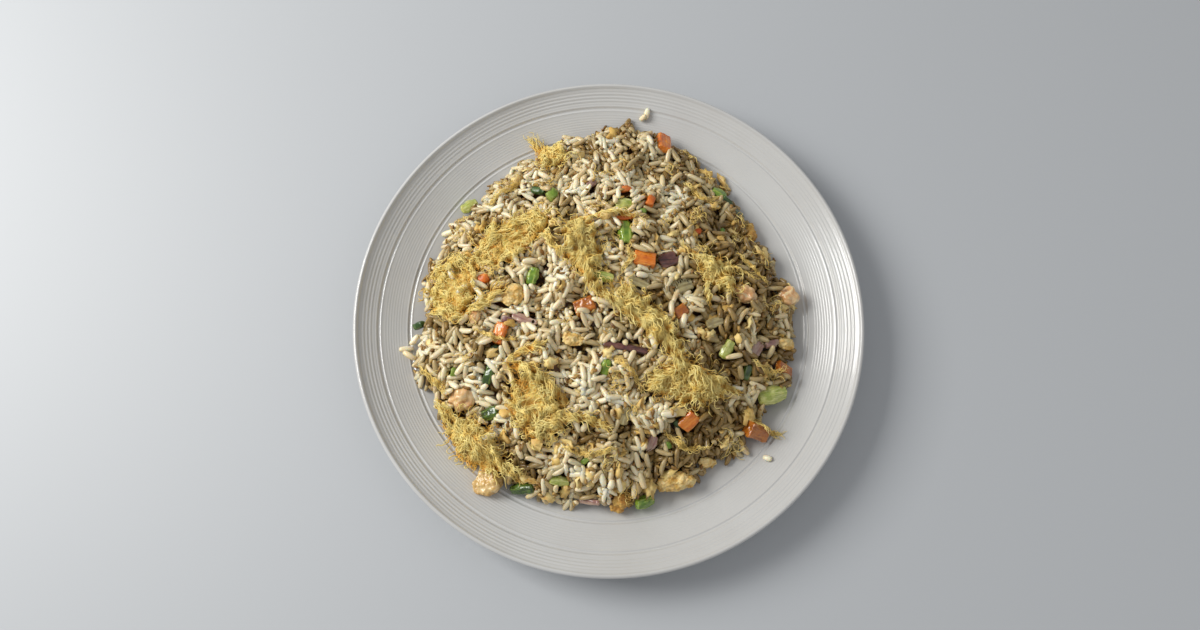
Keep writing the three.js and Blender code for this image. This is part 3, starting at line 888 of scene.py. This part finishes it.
# %% Height map
CELL = 0.5
HALF_SIDE = 122.0
RAYS_FROM = 0.1
SUNK_TOPPING = 0.5  # a topping counts where it reaches to within this of the plain heap
ticks = np.arange(-HALF_SIDE, HALF_SIDE + CELL / 2, CELL)
map_x, map_y = np.meshgrid(ticks, ticks, indexing="ij")
target_top = heap_top(map_x, map_y)
share_map, angle_map = heap_share(map_x, map_y)
bare_plate = plate_top(np.hypot(map_x, map_y))
surface = np.where(share_map < CORE_SHARE, core_top(map_x, map_y), bare_plate)


def heights_of(pieces):
    """The top of some pieces over each cell of the map, from rays dropped on them."""
    heights = np.full(surface.shape, -1.0)
    graph = bpy.context.evaluated_depsgraph_get()
    for piece in pieces:
        corners = corners_mm(piece)
        tree = BVHTree.FromObject(piece, graph)
        low, high = corners.min(axis=0), corners.max(axis=0)
        first = np.floor((low[:2] + HALF_SIDE) / CELL).astype(int)
        last = np.ceil((high[:2] + HALF_SIDE) / CELL).astype(int)
        for i in range(first[0], last[0] + 1):
            for j in range(first[1], last[1] + 1):
                above = Vector((ticks[i] * MM, ticks[j] * MM, RAYS_FROM))
                place = tree.ray_cast(above, Vector((0, 0, -1)))[0]
                if place is not None:
                    heights[i, j] = max(heights[i, j], place.z / MM)
    return heights


firm_maps = [heights_of([piece]) for piece in toppings] + [heights_of(scraps)]
wad_maps = {node: heights_of([piece]) for node, piece in wads.items()}
topping_map = np.max(firm_maps + list(wad_maps.values()), axis=0)
surface = np.maximum(surface, topping_map)
covered = topping_map > target_top - SUNK_TOPPING
print("height map:", surface.shape, "cells,", round(covered.mean() * 100, 1), "% under toppings")


def neighbours(values, mode="edge"):
    """Four arrays that hold, for each cell, the values of the four cells beside it."""
    padded = np.pad(values, 1, mode=mode)
    return [padded[:-2, 1:-1], padded[2:, 1:-1], padded[1:-1, :-2], padded[1:-1, 2:]]


# %% [markdown]
# To lay a grain, the map is read at a few stations along its underside. The pair of stations, one
# on each half, that holds the middle up highest is what it rests on. It is then pushed down where
# its higher end would stand too proud, and its rounded back is written into the map.

# %% Laying one grain
STATIONS = np.array([-0.85, -0.55, -0.25, 0.0, 0.25, 0.55, 0.85])
STEEPEST = math.tan(math.radians(50))
MOST_PROUD = 2.4


def cell_of(value):
    cell = (np.asarray(value) + HALF_SIDE) / CELL + 0.5
    return np.clip(cell.astype(int), 0, len(ticks) - 1)


def lay(x, y, yaw, length, radius, sink, tip=0.0, over=False):
    """Rests a grain on the height map. Returns its middle and slope, or None over a topping."""
    half = length / 2
    cosine, sine = math.cos(yaw), math.sin(yaw)
    along = STATIONS * half
    on_toppings = covered[cell_of(x + along * cosine), cell_of(y + along * sine)].sum()
    if on_toppings > 1 and not over:
        return None
    under = np.full(len(along), -np.inf)
    for side in (-0.5 * radius, 0.0, 0.5 * radius):
        at_x = x + along * cosine - side * sine
        at_y = y + along * sine + side * cosine
        under = np.maximum(under, surface[cell_of(at_x), cell_of(at_y)])
    left, right = along[:3, None], along[None, 4:]
    bridge = (under[:3, None] * right - under[None, 4:] * left) / (right - left)
    i, j = np.unravel_index(np.argmax(bridge), bridge.shape)
    slope = (under[4 + j] - under[i]) / (along[4 + j] - along[i]) + tip
    height = max(bridge[i, j], under[3]) - 0.5 * abs(tip) * half
    slope = max(-STEEPEST, min(STEEPEST, slope))
    middle = height + (radius - sink) * math.sqrt(1 + slope * slope)
    raised = 0.8 * half * math.copysign(1, slope)
    end = middle + slope * raised + radius
    wanted = goal[cell_of(x + raised * cosine), cell_of(y + raised * sine)]
    middle -= max(0, end - wanted - MOST_PROUD)
    raise_map(x, y, middle, cosine, sine, slope, half, radius)
    return middle, slope


def raise_map(x, y, middle, cosine, sine, slope, half, radius):
    """Lifts the cells under a laid grain to the height of its back."""
    reach = half + radius
    i0, i1 = cell_of([x - reach, x + reach])
    j0, j1 = cell_of([y - reach, y + reach])
    gx, gy = map_x[i0:i1 + 1, j0:j1 + 1] - x, map_y[i0:i1 + 1, j0:j1 + 1] - y
    u = gx * cosine + gy * sine
    v = gy * cosine - gx * sine
    taper = 1 - (v / radius) ** 2 - (u / half) ** 4
    top = middle + slope * u + radius * np.sqrt(np.maximum(taper, 0))
    patch = surface[i0:i1 + 1, j0:j1 + 1]
    np.copyto(patch, np.maximum(patch, top), where=taper > 0)


# %% [markdown]
# The heap is not a smooth dome: it is piled in clumps that stuck together in the pan, and in a
# clump most grains lie the same way. Both come from slow noise fields over the heap, as do the
# stained patches and the places where egg gathers. Round a topping the rice stays lower, and the
# room for it widens with the distance, so that every topping stays in view.

# %% Fields over the heap
NO_LIMIT = 99.0
ROOM_SLOPE, ROOM_CELLS = 0.5, 20
BELOW_TOPPINGS, BELOW_WADS = 1.2, 3.0
LEAST_ROOM = -1.5
CLUMP_HEIGHT, ROUGH_HEIGHT = 10.5, 1.2
LEAST_COVER = 3.4  # rice over the core and over what is sunk in it


def spread_least(values, step_up, rounds):
    """Each cell takes the least of its own value and its neighbours' plus a step."""
    for _ in range(rounds):
        values = np.minimum(values, np.minimum.reduce(neighbours(values)) + step_up)
    return values


def room_round(maps, below_mm):
    """How far rice may stand over the plain heap, so that it leaves the toppings in view."""
    room = np.full(surface.shape, NO_LIMIT)
    for heights in maps:
        over = heights - target_top
        own = over > -SUNK_TOPPING
        if own.any():
            room[own] = np.minimum(room[own], np.median(over[own]) - below_mm)
    return spread_least(room, ROOM_SLOPE * CELL, ROOM_CELLS)


def noise_field(scale_mm, seed):
    """Smooth noise between about -1 and 1 on every fourth cell of the map, spread to all cells."""
    coarse = ticks[::4]
    values = np.array([
        [noise.noise(Vector((x / scale_mm, y / scale_mm, seed))) for y in coarse] for x in coarse
    ])
    rows = np.array([np.interp(ticks, coarse, row) for row in values])
    return np.array([np.interp(ticks, coarse, column) for column in rows.T]).T


clumps = noise_field(11.0, 1.5)
rough = noise_field(5.0, 4.5)
lie = noise_field(11.0, 9.5)
stain = noise_field(14.0, 20.5)
eggy = noise_field(16.0, 33.5)
edge_reach = heap_reach(angle_map) + 3.0 * rough + 5.0 * clumps
goal = np.where(share_map < 1, target_top, bare_plate + HEAP_EDGE)
lower_rim = np.clip((1.05 - share_map) / 0.2, 0.2, 1)
goal = goal + 0.2 + CLUMP_HEIGHT * clumps * lower_rim + ROUGH_HEIGHT * rough
room = np.minimum(room_round(firm_maps, BELOW_TOPPINGS), room_round(wad_maps.values(), BELOW_WADS))
goal = np.minimum(goal, target_top + np.maximum(room, LEAST_ROOM))
goal = np.maximum(goal, surface + LEAST_COVER)
inside = (share_map * heap_reach(angle_map) < edge_reach - 0.5) & ~covered
print("room for rice:", round(inside.mean() * 100, 1), "% of the map")

# %% [markdown]
# Each round looks at a few random spots and lays where the map lacks most. Most pieces are whole
# grains, some are broken, and where egg gathers some are crumbs and flakes of egg. Rice is whiter
# on the left and browner on the right, partly from sauce and partly as painted shade on the side
# away from the window, with slow patches of both, and plain white in four places where the sauce
# never reached. The near left side is messier: it has more egg and more broken grains. A few
# single grains are then put one by one on the toppings and on the bare plate.

# %% Laying them all
GRAIN_LENGTH, GRAIN_WIDTH = 9.0, 3.3
MOST_PIECES, MOST_MISSES = 7000, 900
TRIES = 7
LEAST_LACK = 0.7
ALIGNED, TIPPED, WHOLE = 0.85, 0.5, 0.86  # shares of the grains
CRUMB_LONGER = 1.3
CRUMB_SHARE = 0.4
WHITE_BASE = 0.53
WHITEST = [(30, 38, 15), (0, -36, 14), (-26, 12, 14), (46, -4, 10)]  # x, y and reach of plain rice
random = np.random.default_rng(12)


def share_of(value):
    return min(1, max(0, value))


spots = np.argwhere(inside)
grains, crumbs, flakes = [], [], []
misses = 0
while len(grains) + len(crumbs) + len(flakes) < MOST_PIECES and misses < MOST_MISSES:
    picked = spots[random.integers(0, len(spots), TRIES)]
    lack = goal[picked[:, 0], picked[:, 1]] - surface[picked[:, 0], picked[:, 1]]
    best = int(np.argmax(lack))
    i, j = picked[best]
    x, y = ticks[i], ticks[j]
    east = share_of((x + 10) / 80)
    mess = share_of((-y - 35) / 45) * (0.4 + 0.6 * share_of((20 - x) / 60))
    chance = random.random() - 0.015 - 0.04 * east - 0.18 * mess - 0.30 * max(0, eggy[i, j] - 0.05)
    if random.random() < ALIGNED:
        yaw = 5.0 * lie[i, j] + random.normal(0, 0.34)
    else:
        yaw = random.uniform(0, 6.28)
    if lack[best] < LEAST_LACK:
        misses += 1
        continue
    if chance < 0:
        width = random.uniform(2.0, 6.8)
        length = width * CRUMB_LONGER
        laid = lay(x, y, yaw, length, width * 0.5 * random.uniform(0.3, 0.5), 0.5)
        if laid:
            row = (x, y, laid[0], yaw, laid[1], length, width * 0.5, random.uniform(0, 6.283))
            (crumbs if random.random() < CRUMB_SHARE else flakes).append(row)
        continue
    whole = random.random() < WHOLE - 0.25 * mess
    size = min(1.2, max(0.7, random.normal(1.02, 0.1))) if whole else random.uniform(0.4, 0.7)
    length = GRAIN_LENGTH * size
    radius = GRAIN_WIDTH / 2 * random.uniform(0.9, 1.1)
    if random.random() < TIPPED:
        tip = random.choice((-1, 1)) * random.uniform(0.25, 1.0)
    else:
        tip = random.normal(0, 0.12)
    laid = lay(x, y, yaw, length, radius, random.uniform(0.6, 1.3), tip)
    if laid:
        # Less white to the right: partly sauce, partly painted shade on the side away from the
        # window.
        white = WHITE_BASE - 0.64 * east - 0.12 * max(0, y / 80) + 0.85 * stain[i, j]
        white += sum(
            0.45 * math.exp(-math.dist((x, y), spot[:2]) ** 2 / spot[2] ** 2) for spot in WHITEST
        )
        roll = random.uniform(0, 6.283)
        grains.append((x, y, laid[0], yaw, laid[1], length, radius, roll, white))

# %% Single grains
# Each of them as x, y, turn in degrees, length and whiteness.
LONE = [
    (-12.6, -5.5, 5, 8.0, 1.0), (-29, 12, -28, 11, 1.0), (-20, 9, -35, 10, 0.7),
    (31, 36, -8, 10, 1.0), (22, 44, 10, 9, 0.8), (56, 60, 0, 9, 0.5), (55, 4, -5, 9, 0.4),
    (-6, 22, 35, 10, 0.8), (-60, 58, 20, 9, 1.0), (22, 119, 75, 7, 0.8), (20, 117, 20, 5, 0.6),
    (82, -75, -20, 5, 0.5), (-108, -17, 10, 8, 0.9), (-106, -21, -30, 8, 0.8),
    (-104, -12, 50, 7, 0.9), (16, 41, 60, 8, 0.8), (-76, 10, 40, 8, 0.8), (-83, 20, 110, 8, 0.8),
    (-60, -66, 15, 8, 0.6), (-20, 30, 100, 8, 0.7),
]
for x, y, turn, length, white in LONE:
    yaw, radius = math.radians(turn), GRAIN_WIDTH / 2
    laid = lay(x, y, yaw, length, radius, 0.3, 0.0, over=True)
    grains.append((x, y, laid[0], yaw, laid[1], length, radius, 0.0, white))
grains, crumbs, flakes = np.array(grains), np.array(crumbs), np.array(flakes)
print("laid:", len(grains), "grains,", len(crumbs), "crumbs,", len(flakes), "flakes")
print("misses:", misses)
proud = (surface - target_top)[share_map < 0.9].mean()
print("mean height over the plain heap:", round(float(proud), 2), "mm")

# %% [markdown]
# Rice takes up sauce unevenly, so the grains are sorted into four kinds: plain white, cream, half
# clear and soy-brown. A grain's whiteness, and how deep it lies, say which kind it joins: grains
# that lie deep between their neighbours go to the browner kinds as painted shade, so the browner
# kinds are partly sauce and partly painted shade. Each kind is one mesh with one material. Egg
# crumbs and flakes are made the same way.

# %% Grains by kind
# Each kind: the whiteness above which a grain belongs to it, and its three colours.
GRAIN_KINDS = [
    ("rice_white", 0.52, (250, 240, 214), (241, 227, 192), (228, 202, 150)),
    ("rice_cream", 0.20, (234, 222, 190), (221, 203, 161), (194, 164, 106)),
    ("rice_glassy", -0.12, (204, 188, 146), (177, 155, 108), (138, 112, 60)),
    ("rice_soy", -9.0, (174, 148, 96), (136, 108, 56), (88, 62, 20)),
]
HIGHEST_WHITENESS = 9.0
SKYLINE_CELLS = 7  # how far round a grain its neighbours' tops are looked at

skyline = surface.copy()
for _ in range(SKYLINE_CELLS):
    skyline = np.maximum.reduce([*neighbours(skyline), skyline])
depths = skyline[cell_of(grains[:, 0]), cell_of(grains[:, 1])] - grains[:, 2]
print("depth under the skyline:", np.percentile(depths, (5, 25, 50, 75, 95)).round(1), "mm")
# Grains that lie deeper under their neighbours' tops are made less white: painted shade.
whiteness = grains[:, 8] + random.uniform(-0.14, 0.16, len(grains)) + 0.08 * (3.0 - depths)
ceiling = HIGHEST_WHITENESS
for name, floor, *colours in GRAIN_KINDS:
    rows = grains[(whiteness >= floor) & (whiteness < ceiling)]
    ceiling = floor
    piece = joined(name, grain_models, lain_turns(rows), rows[:, :3], random.random(len(rows)))
    settle(piece, tinted_material(name, *linears(*colours), 0.27, 0.6), ["rice_heap"])
    print(name, len(rows), "grains")

egg_colours = linears((246, 224, 156), (228, 188, 102), (198, 148, 68))
for name, models, rows, flatness in (
    ("egg_crumbs", crumb_models, crumbs, 0.6), ("egg_flakes", flake_models, flakes, 0.9),
):
    piece = joined(name, models, lain_turns(rows, flatness), rows[:, :3], random.random(len(rows)))
    settle(piece, tinted_material(name, *egg_colours, 0.5, 0.2, 0.5, 160.0), ["rice_heap"])
    print(name, len(rows))

# %% [markdown]
# Fine bits of egg and broken rice are caught in the gaps. Each is dropped at a random spot and
# rolls a few cells downhill before it stays, which is where stirring leaves them. Their dark
# browns are partly the colour of egg and rice and partly painted shade for the gaps.

# %% Fine bits
BITS, CELLS_ROLLED = 1300, 3
spots = np.argwhere(inside)
i, j = spots[random.integers(0, len(spots), BITS)].T
for _ in range(CELLS_ROLLED):
    around = [(i + di, j + dj) for di in (-1, 0, 1) for dj in (-1, 0, 1)]
    lowest = np.argmin([surface[ni, nj] for ni, nj in around], axis=0)
    i = np.choose(lowest, [ni for ni, _ in around])
    j = np.choose(lowest, [nj for _, nj in around])
size = random.uniform(1.0, 3.0, BITS)
middles = np.stack([ticks[i], ticks[j], surface[i, j] + 0.25 * size], 1)
bit_rows = np.column_stack([middles, random.uniform(0, 6.283, BITS), random.normal(0, 0.4, BITS),
                            1.5 * size, 0.4 * size, random.uniform(0, 6.283, BITS)])
piece = joined("fine_bits", bit_models, lain_turns(bit_rows, 0.8), middles, random.random(BITS))
# Dark browns: partly the bits' own colour, partly painted shade for the gaps they lie in.
bit_colours_and_gap_shade = linears((196, 160, 88), (140, 98, 40), (82, 50, 16))
bit_material = tinted_material("fine bits", *bit_colours_and_gap_shade, 0.4, 0.2, 0.4, 160.0)
settle(piece, bit_material, ["rice_heap"])
print("fine bits:", BITS)

# %% [markdown]
# ## Egg floss, then the threads
# Each thread wanders over its wad in small curls and stays close to it. The walk is done for all
# threads of a wad at once: a heading that keeps turning, a height that follows the heap, and a
# pull back towards the wad once the thread has left it. The heights come from the map of what has
# been laid, blurred, with its hills raised a little. A few threads go free.
#
# A wad has four sorts of threads. Loose ones lie singly. Locks are bundles that follow one guide
# and wave apart, as strands that stuck together do. A fringe starts on the wad's outline and
# softens it. Ropes are wound round a listed line, where a wad trails over the heap.

# %% The floor under the threads
THREAD_CEILING = 58.6  # mm over the table, which keeps the topmost threads near the measured box
FINE_BLUR, WIDE_BLUR = 4, 60  # rounds
HILL_GAIN, MOST_GAIN = 0.7, 1.1


def blurred(heights, rounds):
    """Each round averages every cell with the four beside it."""
    for _ in range(rounds):
        heights = (sum(neighbours(heights)) + 2 * heights) / 6
    return heights


walk_floor = blurred(surface, FINE_BLUR)
relief = walk_floor - blurred(walk_floor, WIDE_BLUR)
print("relief:", np.quantile(relief[inside | covered], (0.05, 0.5, 0.95)).round(2), "mm")
walk_floor = walk_floor + np.clip(HILL_GAIN * relief, 0, MOST_GAIN)


def height_at(x, y):
    """The floor that threads follow, between the cells of the map."""
    fx, fy = (x + HALF_SIDE) / CELL, (y + HALF_SIDE) / CELL
    i = np.clip(fx.astype(int), 0, len(ticks) - 2)
    j = np.clip(fy.astype(int), 0, len(ticks) - 2)
    u, v = fx - i, fy - j
    low = walk_floor[i, j] * (1 - u) + walk_floor[i + 1, j] * u
    high = walk_floor[i, j + 1] * (1 - u) + walk_floor[i + 1, j + 1] * u
    return low * (1 - v) + high * v


# %% Thread walks
THREAD_STEPS = 15


def walk_threads(starts, middle, allowed, steps, step_mm, curl, lift_mm, wild):
    """Paths as an array: thread, step, (x, y, z) in mm. Wild is the share that go free."""
    count = len(starts)
    x, y = starts[:, 0].copy(), starts[:, 1].copy()
    heading = random.uniform(0, 2 * math.pi, count)
    turn = random.normal(0, curl, count)
    base = random.uniform(0.1, 1, count) * lift_mm
    wave = random.uniform(0.3, 1.0, count)
    phase = random.uniform(0, 2 * math.pi, count)
    free = random.random(count) < wild
    paths = np.empty((count, steps, 3))
    for step in range(steps):
        lift = base + 0.4 * wave * np.sin(phase + 0.9 * step) + free * 0.1 * step
        paths[:, step, 0], paths[:, step, 1] = x, y
        paths[:, step, 2] = height_at(x, y) + np.maximum(lift, 0.05)
        turn = 0.75 * turn + random.normal(0, curl * 0.8, count)
        heading = heading + turn
        homeward = np.arctan2(middle[1] - y, middle[0] - x)
        away = ~allowed[cell_of(x), cell_of(y)] & ~free
        bend = np.angle(np.exp(1j * (homeward - heading)))
        heading = np.where(away, heading + 0.6 * bend, heading)
        x, y = x + step_mm * np.cos(heading), y + step_mm * np.sin(heading)
    return paths


def lock_threads(guides, per_lock, spread_mm):
    """Bundles of threads that follow each guide path, spread round it and waving apart."""
    count, steps = len(guides) * per_lock, guides.shape[1]
    guide = np.repeat(guides, per_lock, axis=0)
    offset = random.normal(0, spread_mm, (count, 1, 3)) * [1, 1, 0.6]
    phase = random.uniform(0, 2 * math.pi, (count, 1, 3))
    pace = random.uniform(0.5, 1.7, (count, 1, 3))
    wave = random.uniform(0.15, 0.8, (count, 1, 3))
    along = np.arange(steps)[None, :, None]
    opening = 0.55 + 0.45 * np.abs(2 * along / (steps - 1) - 1)
    paths = guide + offset * opening + wave * np.sin(phase + pace * along)
    floor = height_at(paths[:, :, 0], paths[:, :, 1]) + 0.1
    paths[:, :, 2] = np.maximum(paths[:, :, 2], floor)
    return paths


ROPE_LEAD = 12.0  # mm by which a guide line is drawn out at both ends
ROPE_FIRST, ROPE_LAST = 8.0, 9.0  # mm at its two ends that threads leave free


def rope_threads(guide_mm, width, count, steps=THREAD_STEPS, step_mm=1.1):
    """Threads wound round a guide line drawn on the heap. Some of them stray outwards."""
    guide = np.array(guide_mm, float)
    ends = [guide[0] - guide[1], guide[-1] - guide[-2]]
    ends = [ROPE_LEAD * end / np.hypot(*end) for end in ends]
    guide = np.concatenate([[guide[0] + ends[0]], guide, [guide[-1] + ends[1]]])
    marks = np.concatenate([[0], np.cumsum(np.hypot(*np.diff(guide, axis=0).T))])
    pace = random.uniform(0.75, 1.0, (count, 1))
    reach = pace * step_mm * (steps - 1)
    free = np.maximum(marks[-1] - (ROPE_FIRST + ROPE_LAST) - reach, 1)
    first = ROPE_FIRST + random.random((count, 1)) * free
    at = first + pace * step_mm * np.arange(steps)
    x, y = np.interp(at, marks, guide[:, 0]), np.interp(at, marks, guide[:, 1])
    along_x, along_y = np.gradient(x, axis=1), np.gradient(y, axis=1)
    length = np.hypot(along_x, along_y) + 1e-9
    stray = (random.random((count, 1)) < 0.45) * random.uniform(0.5, 3.5, (count, 1))
    open_out = 1 + stray * (np.arange(steps) / steps) ** 2
    far = 0.5 * width * np.sqrt(random.random((count, 1)))
    twist = random.uniform(0, 2 * math.pi, (count, 1)) + 0.8 * at / width
    sway_start = random.uniform(0, 6.28, (count, 1))
    sway_pace = random.uniform(0.6, 1.8, (count, 1))
    wave = 0.6 * np.sin(sway_start + sway_pace * np.arange(steps))
    side = far * open_out * np.cos(twist) + wave
    x, y = x - along_y / length * side, y + along_x / length * side
    lift = 0.6 * far * open_out * (1 + np.sin(twist)) + 0.3 * wave + 0.3
    return np.stack([x, y, height_at(x, y) + np.maximum(lift, 0.1)], axis=2)


# %% Tubes along the paths
TUBE_ANGLES = (0, 2.0944, 4.18879)


def tubes(name, paths, radii, tint):
    """Three-sided tubes with tapered, closed ends along every path, as one mesh."""
    count, steps = paths.shape[:2]
    paths[:, :, 2] = np.minimum(paths[:, :, 2], THREAD_CEILING)
    tangent = np.gradient(paths, axis=1)
    tangent /= np.linalg.norm(tangent, axis=2, keepdims=True) + 1e-9
    side = np.cross(tangent, [0.0, 0.0, 1.0])
    side /= np.linalg.norm(side, axis=2, keepdims=True) + 1e-9
    up = np.cross(side, tangent)
    taper = np.minimum(1, 0.45 + np.minimum(np.arange(steps), np.arange(steps)[::-1]) / 3)
    radius = radii[:, None, None] * taper[None, :, None]
    rings = [paths + radius * (math.cos(a) * up + math.sin(a) * side) for a in TUBE_ANGLES]
    points = np.stack(rings, axis=2).reshape(-1, 3)
    ring = np.arange(count * steps).reshape(count, steps) * 3
    first, second = ring[:, :-1].ravel(), ring[:, 1:].ravel()
    quads = np.concatenate([
        np.stack([first + k, first + (k + 1) % 3, second + (k + 1) % 3, second + k], 1)
        for k in range(3)
    ])
    start, end = ring[:, 0], ring[:, -1]
    caps = np.concatenate([
        np.stack([start + 2, start + 1, start], 1), np.stack([end, end + 1, end + 2], 1),
    ])
    return mesh_piece(
        name, points, np.concatenate([quads.ravel(), caps.ravel()]),
        np.concatenate([np.full(len(quads), 4), np.full(len(caps), 3)]),
        tint=np.repeat(np.broadcast_to(tint, (count, steps)).ravel(), 3),
    )


# %% [markdown]
# A thread is pale where it stands high and deep gold where it lies low, and this tint changes along
# it. This is painted light and shade: high threads are coloured as lit and low ones as shaded,
# which gives the wads their depth that one colour would lose.

# %% Threads over each wad
THREADS_PER_SQUARE_MM = 0.035
LOCKS_PER_SQUARE_MM = 0.012
THREADS_IN_LOCK = 12
FRINGE_THREADS = 2.2  # for each millimetre of a wad's outline
LOOSE = {"step_mm": 0.95, "curl": 0.50, "lift_mm": 1.1, "wild": 0.28}
GUIDE = {"step_mm": 1.05, "curl": 0.30, "lift_mm": 1.5, "wild": 0.2}
FRINGE = {"step_mm": 0.75, "curl": 0.55, "lift_mm": 1.6, "wild": 0.6}
LOCK_SPREAD = 0.7
WAD_EDGE = 1.0  # a wad counts where it reaches to within this of the plain heap
HOLLOW = -0.3  # threads start only on higher relief than this
# Ropes that show over and beyond a wad: points in mm, width in mm, number of threads.
ROPES = {
    "floss_1": [([(-30, 88), (-36, 96), (-45, 106)], 3.5, 60)],
    "floss_2": [([(-70, 28), (-58, 40), (-44, 48), (-34, 42)], 4.0, 110),
                ([(-34, 40), (-30, 30), (-22, 26), (-18, 32)], 3.0, 50)],
    "floss_3": [([(-17, 46), (-14, 30), (-12, 17), (-6, 6)], 5.0, 150),
                ([(-14, 46), (-4, 48), (6, 49), (13, 47)], 2.6, 60)],
    "floss_4": [([(-10, 10), (-6, 6), (3, -1), (14, -8), (26, -14)], 4.5, 150),
                ([(14, -8), (26, -14), (31, -23), (37, -31)], 5.0, 130),
                ([(12, 0), (20, -4), (27, -8)], 2.2, 40)],
    "floss_5": [([(30, -22), (37, -31), (46, -36), (59, -44)], 5.0, 130),
                ([(37, -31), (28, -36), (20, -43)], 3.5, 70),
                ([(46, -36), (56, -38), (66, -43)], 3.0, 60)],
    "floss_6": [([(-94, 22), (-84, 28), (-74, 24)], 4.5, 70),
                ([(-94, 2), (-80, -4), (-66, 0), (-54, 10)], 4.0, 110)],
    "floss_7": [([(-88, -48), (-78, -60), (-66, -70), (-54, -80), (-44, -86)], 5.5, 200)],
    "floss_8": [([(-50, -30), (-40, -34), (-30, -42), (-22, -50)], 4.5, 120),
                ([(-36, -62), (-24, -58), (-12, -58), (0, -62)], 3.5, 110),
                ([(-50, -28), (-44, -24), (-32, -22)], 2.2, 40)],
    "floss_9": [([(40, 32), (48, 26), (55, 20), (60, 14)], 3.0, 60),
                ([(52, 18), (50, 8), (52, 0)], 2.0, 30)],
}
# The pale and the deep gold of the threads are painted light and painted shade, set by how high a
# thread lies; the third colour is for golden patches.
floss_lit_and_shaded_colours = linears((255, 241, 164), (255, 186, 54), (255, 210, 88))
floss_material = tinted_material("floss threads", *floss_lit_and_shaded_colours, 0.35, 0.0, 0.1, 200.0)
add_sheen(floss_material.node_tree.nodes["Principled BSDF"], 1.0)


def random_starts(cells, count):
    """The x and y of some cells, drawn from a list of them."""
    spots = cells[random.integers(0, len(cells), count)]
    return np.stack([ticks[spots[:, 0]], ticks[spots[:, 1]]], 1)


golden_patches = noise_field(7.0, 41.5)
for node, heights in wad_maps.items():
    own = heights > target_top - WAD_EDGE
    cells = np.argwhere(own)
    area = len(cells) * CELL ** 2
    middle = random_starts(cells, 200).mean(axis=0)
    high = cells[relief[cells[:, 0], cells[:, 1]] > HOLLOW]
    loose = random_starts(high, int(area * THREADS_PER_SQUARE_MM))
    threads = walk_threads(loose, middle, own, THREAD_STEPS, **LOOSE)
    tips = random_starts(high, int(area * LOCKS_PER_SQUARE_MM))
    guides = walk_threads(tips, middle, own, THREAD_STEPS, **GUIDE)
    locks = lock_threads(guides, THREADS_IN_LOCK, LOCK_SPREAD)
    ropes = [rope_threads(*rope) for rope in ROPES[node]]
    outline = np.argwhere(own & ~np.logical_and.reduce(neighbours(own, "constant")))
    rim = random_starts(outline, int(len(outline) * CELL * FRINGE_THREADS))
    fringe = walk_threads(rim, middle, own, THREAD_STEPS, **FRINGE)
    paths = np.concatenate([threads, locks, fringe, *ropes])
    radii = random.uniform(0.16, 0.34, len(paths))
    # Painted light and shade: a thread's tint follows its height over the floor and the relief,
    # pale on the high threads and deep gold in the hollows.
    height_for_painted_light = paths[:, :, 2] - height_at(paths[:, :, 0], paths[:, :, 1])
    height_for_painted_light += 1.6 * relief[cell_of(paths[:, :, 0]), cell_of(paths[:, :, 1])]
    halfway = paths[:, THREAD_STEPS // 2]
    golden = golden_patches[cell_of(halfway[:, 0]), cell_of(halfway[:, 1])]
    own_tint = random.uniform(-0.2, 0.2, len(paths))
    lock_tint = np.repeat(random.uniform(-0.45, 0.35, len(guides)), THREADS_IN_LOCK)
    own_tint[len(threads):len(threads) + len(locks)] = lock_tint
    tint = np.clip(0.55 - 0.35 * height_for_painted_light + (0.8 * golden + own_tint)[:, None], 0, 1)
    piece = tubes("threads_" + node, paths, radii, tint)
    settle(piece, floss_material, [node])
    print(piece.name, len(paths), "threads")

# %% [markdown]
# Stray threads lie away from the wads too: thin wisps along short lines, and small tufts wherever
# egg gathers.

# %% Wisps away from the wads
TUFTS, THREADS_IN_TUFT, TUFT_SPREAD = 40, 7, 1.0
TUFT = {"step_mm": 0.8, "curl": 0.45, "lift_mm": 1.0, "wild": 1.0}
WISP_STEPS, WISP_STEP_MM = 12, 1.0
# Each wisp: points in mm, width in mm, number of threads.
WISPS = [
    ([(72, -54), (81, -60), (90, -63)], 2.0, 40), ([(76, -28), (84, -32), (92, -30)], 2.0, 30),
    ([(-22, -72), (-10, -76), (2, -74)], 2.4, 40), ([(8, 18), (12, 24), (10, 30)], 1.6, 24),
    ([(44, 70), (50, 64), (60, 62)], 2.0, 26), ([(-64, 62), (-56, 66), (-50, 72)], 2.2, 30),
    ([(60, 26), (68, 22), (78, 18)], 2.0, 30), ([(30, -66), (40, -72), (52, -70)], 2.4, 36),
    ([(-98, -30), (-90, -36), (-84, -44)], 2.6, 40), ([(70, 30), (78, 24), (84, 18)], 1.8, 24),
    ([(4, -30), (12, -36), (16, -44)], 1.8, 24), ([(-66, -14), (-58, -18), (-48, -18)], 1.8, 24),
]
ropes = [rope_threads(*wisp, steps=WISP_STEPS, step_mm=WISP_STEP_MM) for wisp in WISPS]
near_egg = np.argwhere(inside & (eggy + 0.3 * clumps > 0.02))
roots = np.repeat(random_starts(near_egg, TUFTS), THREADS_IN_TUFT, axis=0)
roots = roots + random.normal(0, TUFT_SPREAD, roots.shape)
tufts = walk_threads(roots, (0, 0), inside, WISP_STEPS, **TUFT)
paths = np.concatenate([*ropes, tufts])
tint = random.uniform(0.0, 0.5, (len(paths), 1))
wisps = tubes("floss_wisps", paths, random.uniform(0.12, 0.26, len(paths)), tint)
settle(wisps, floss_material)
print(wisps.name, len(paths), "threads")
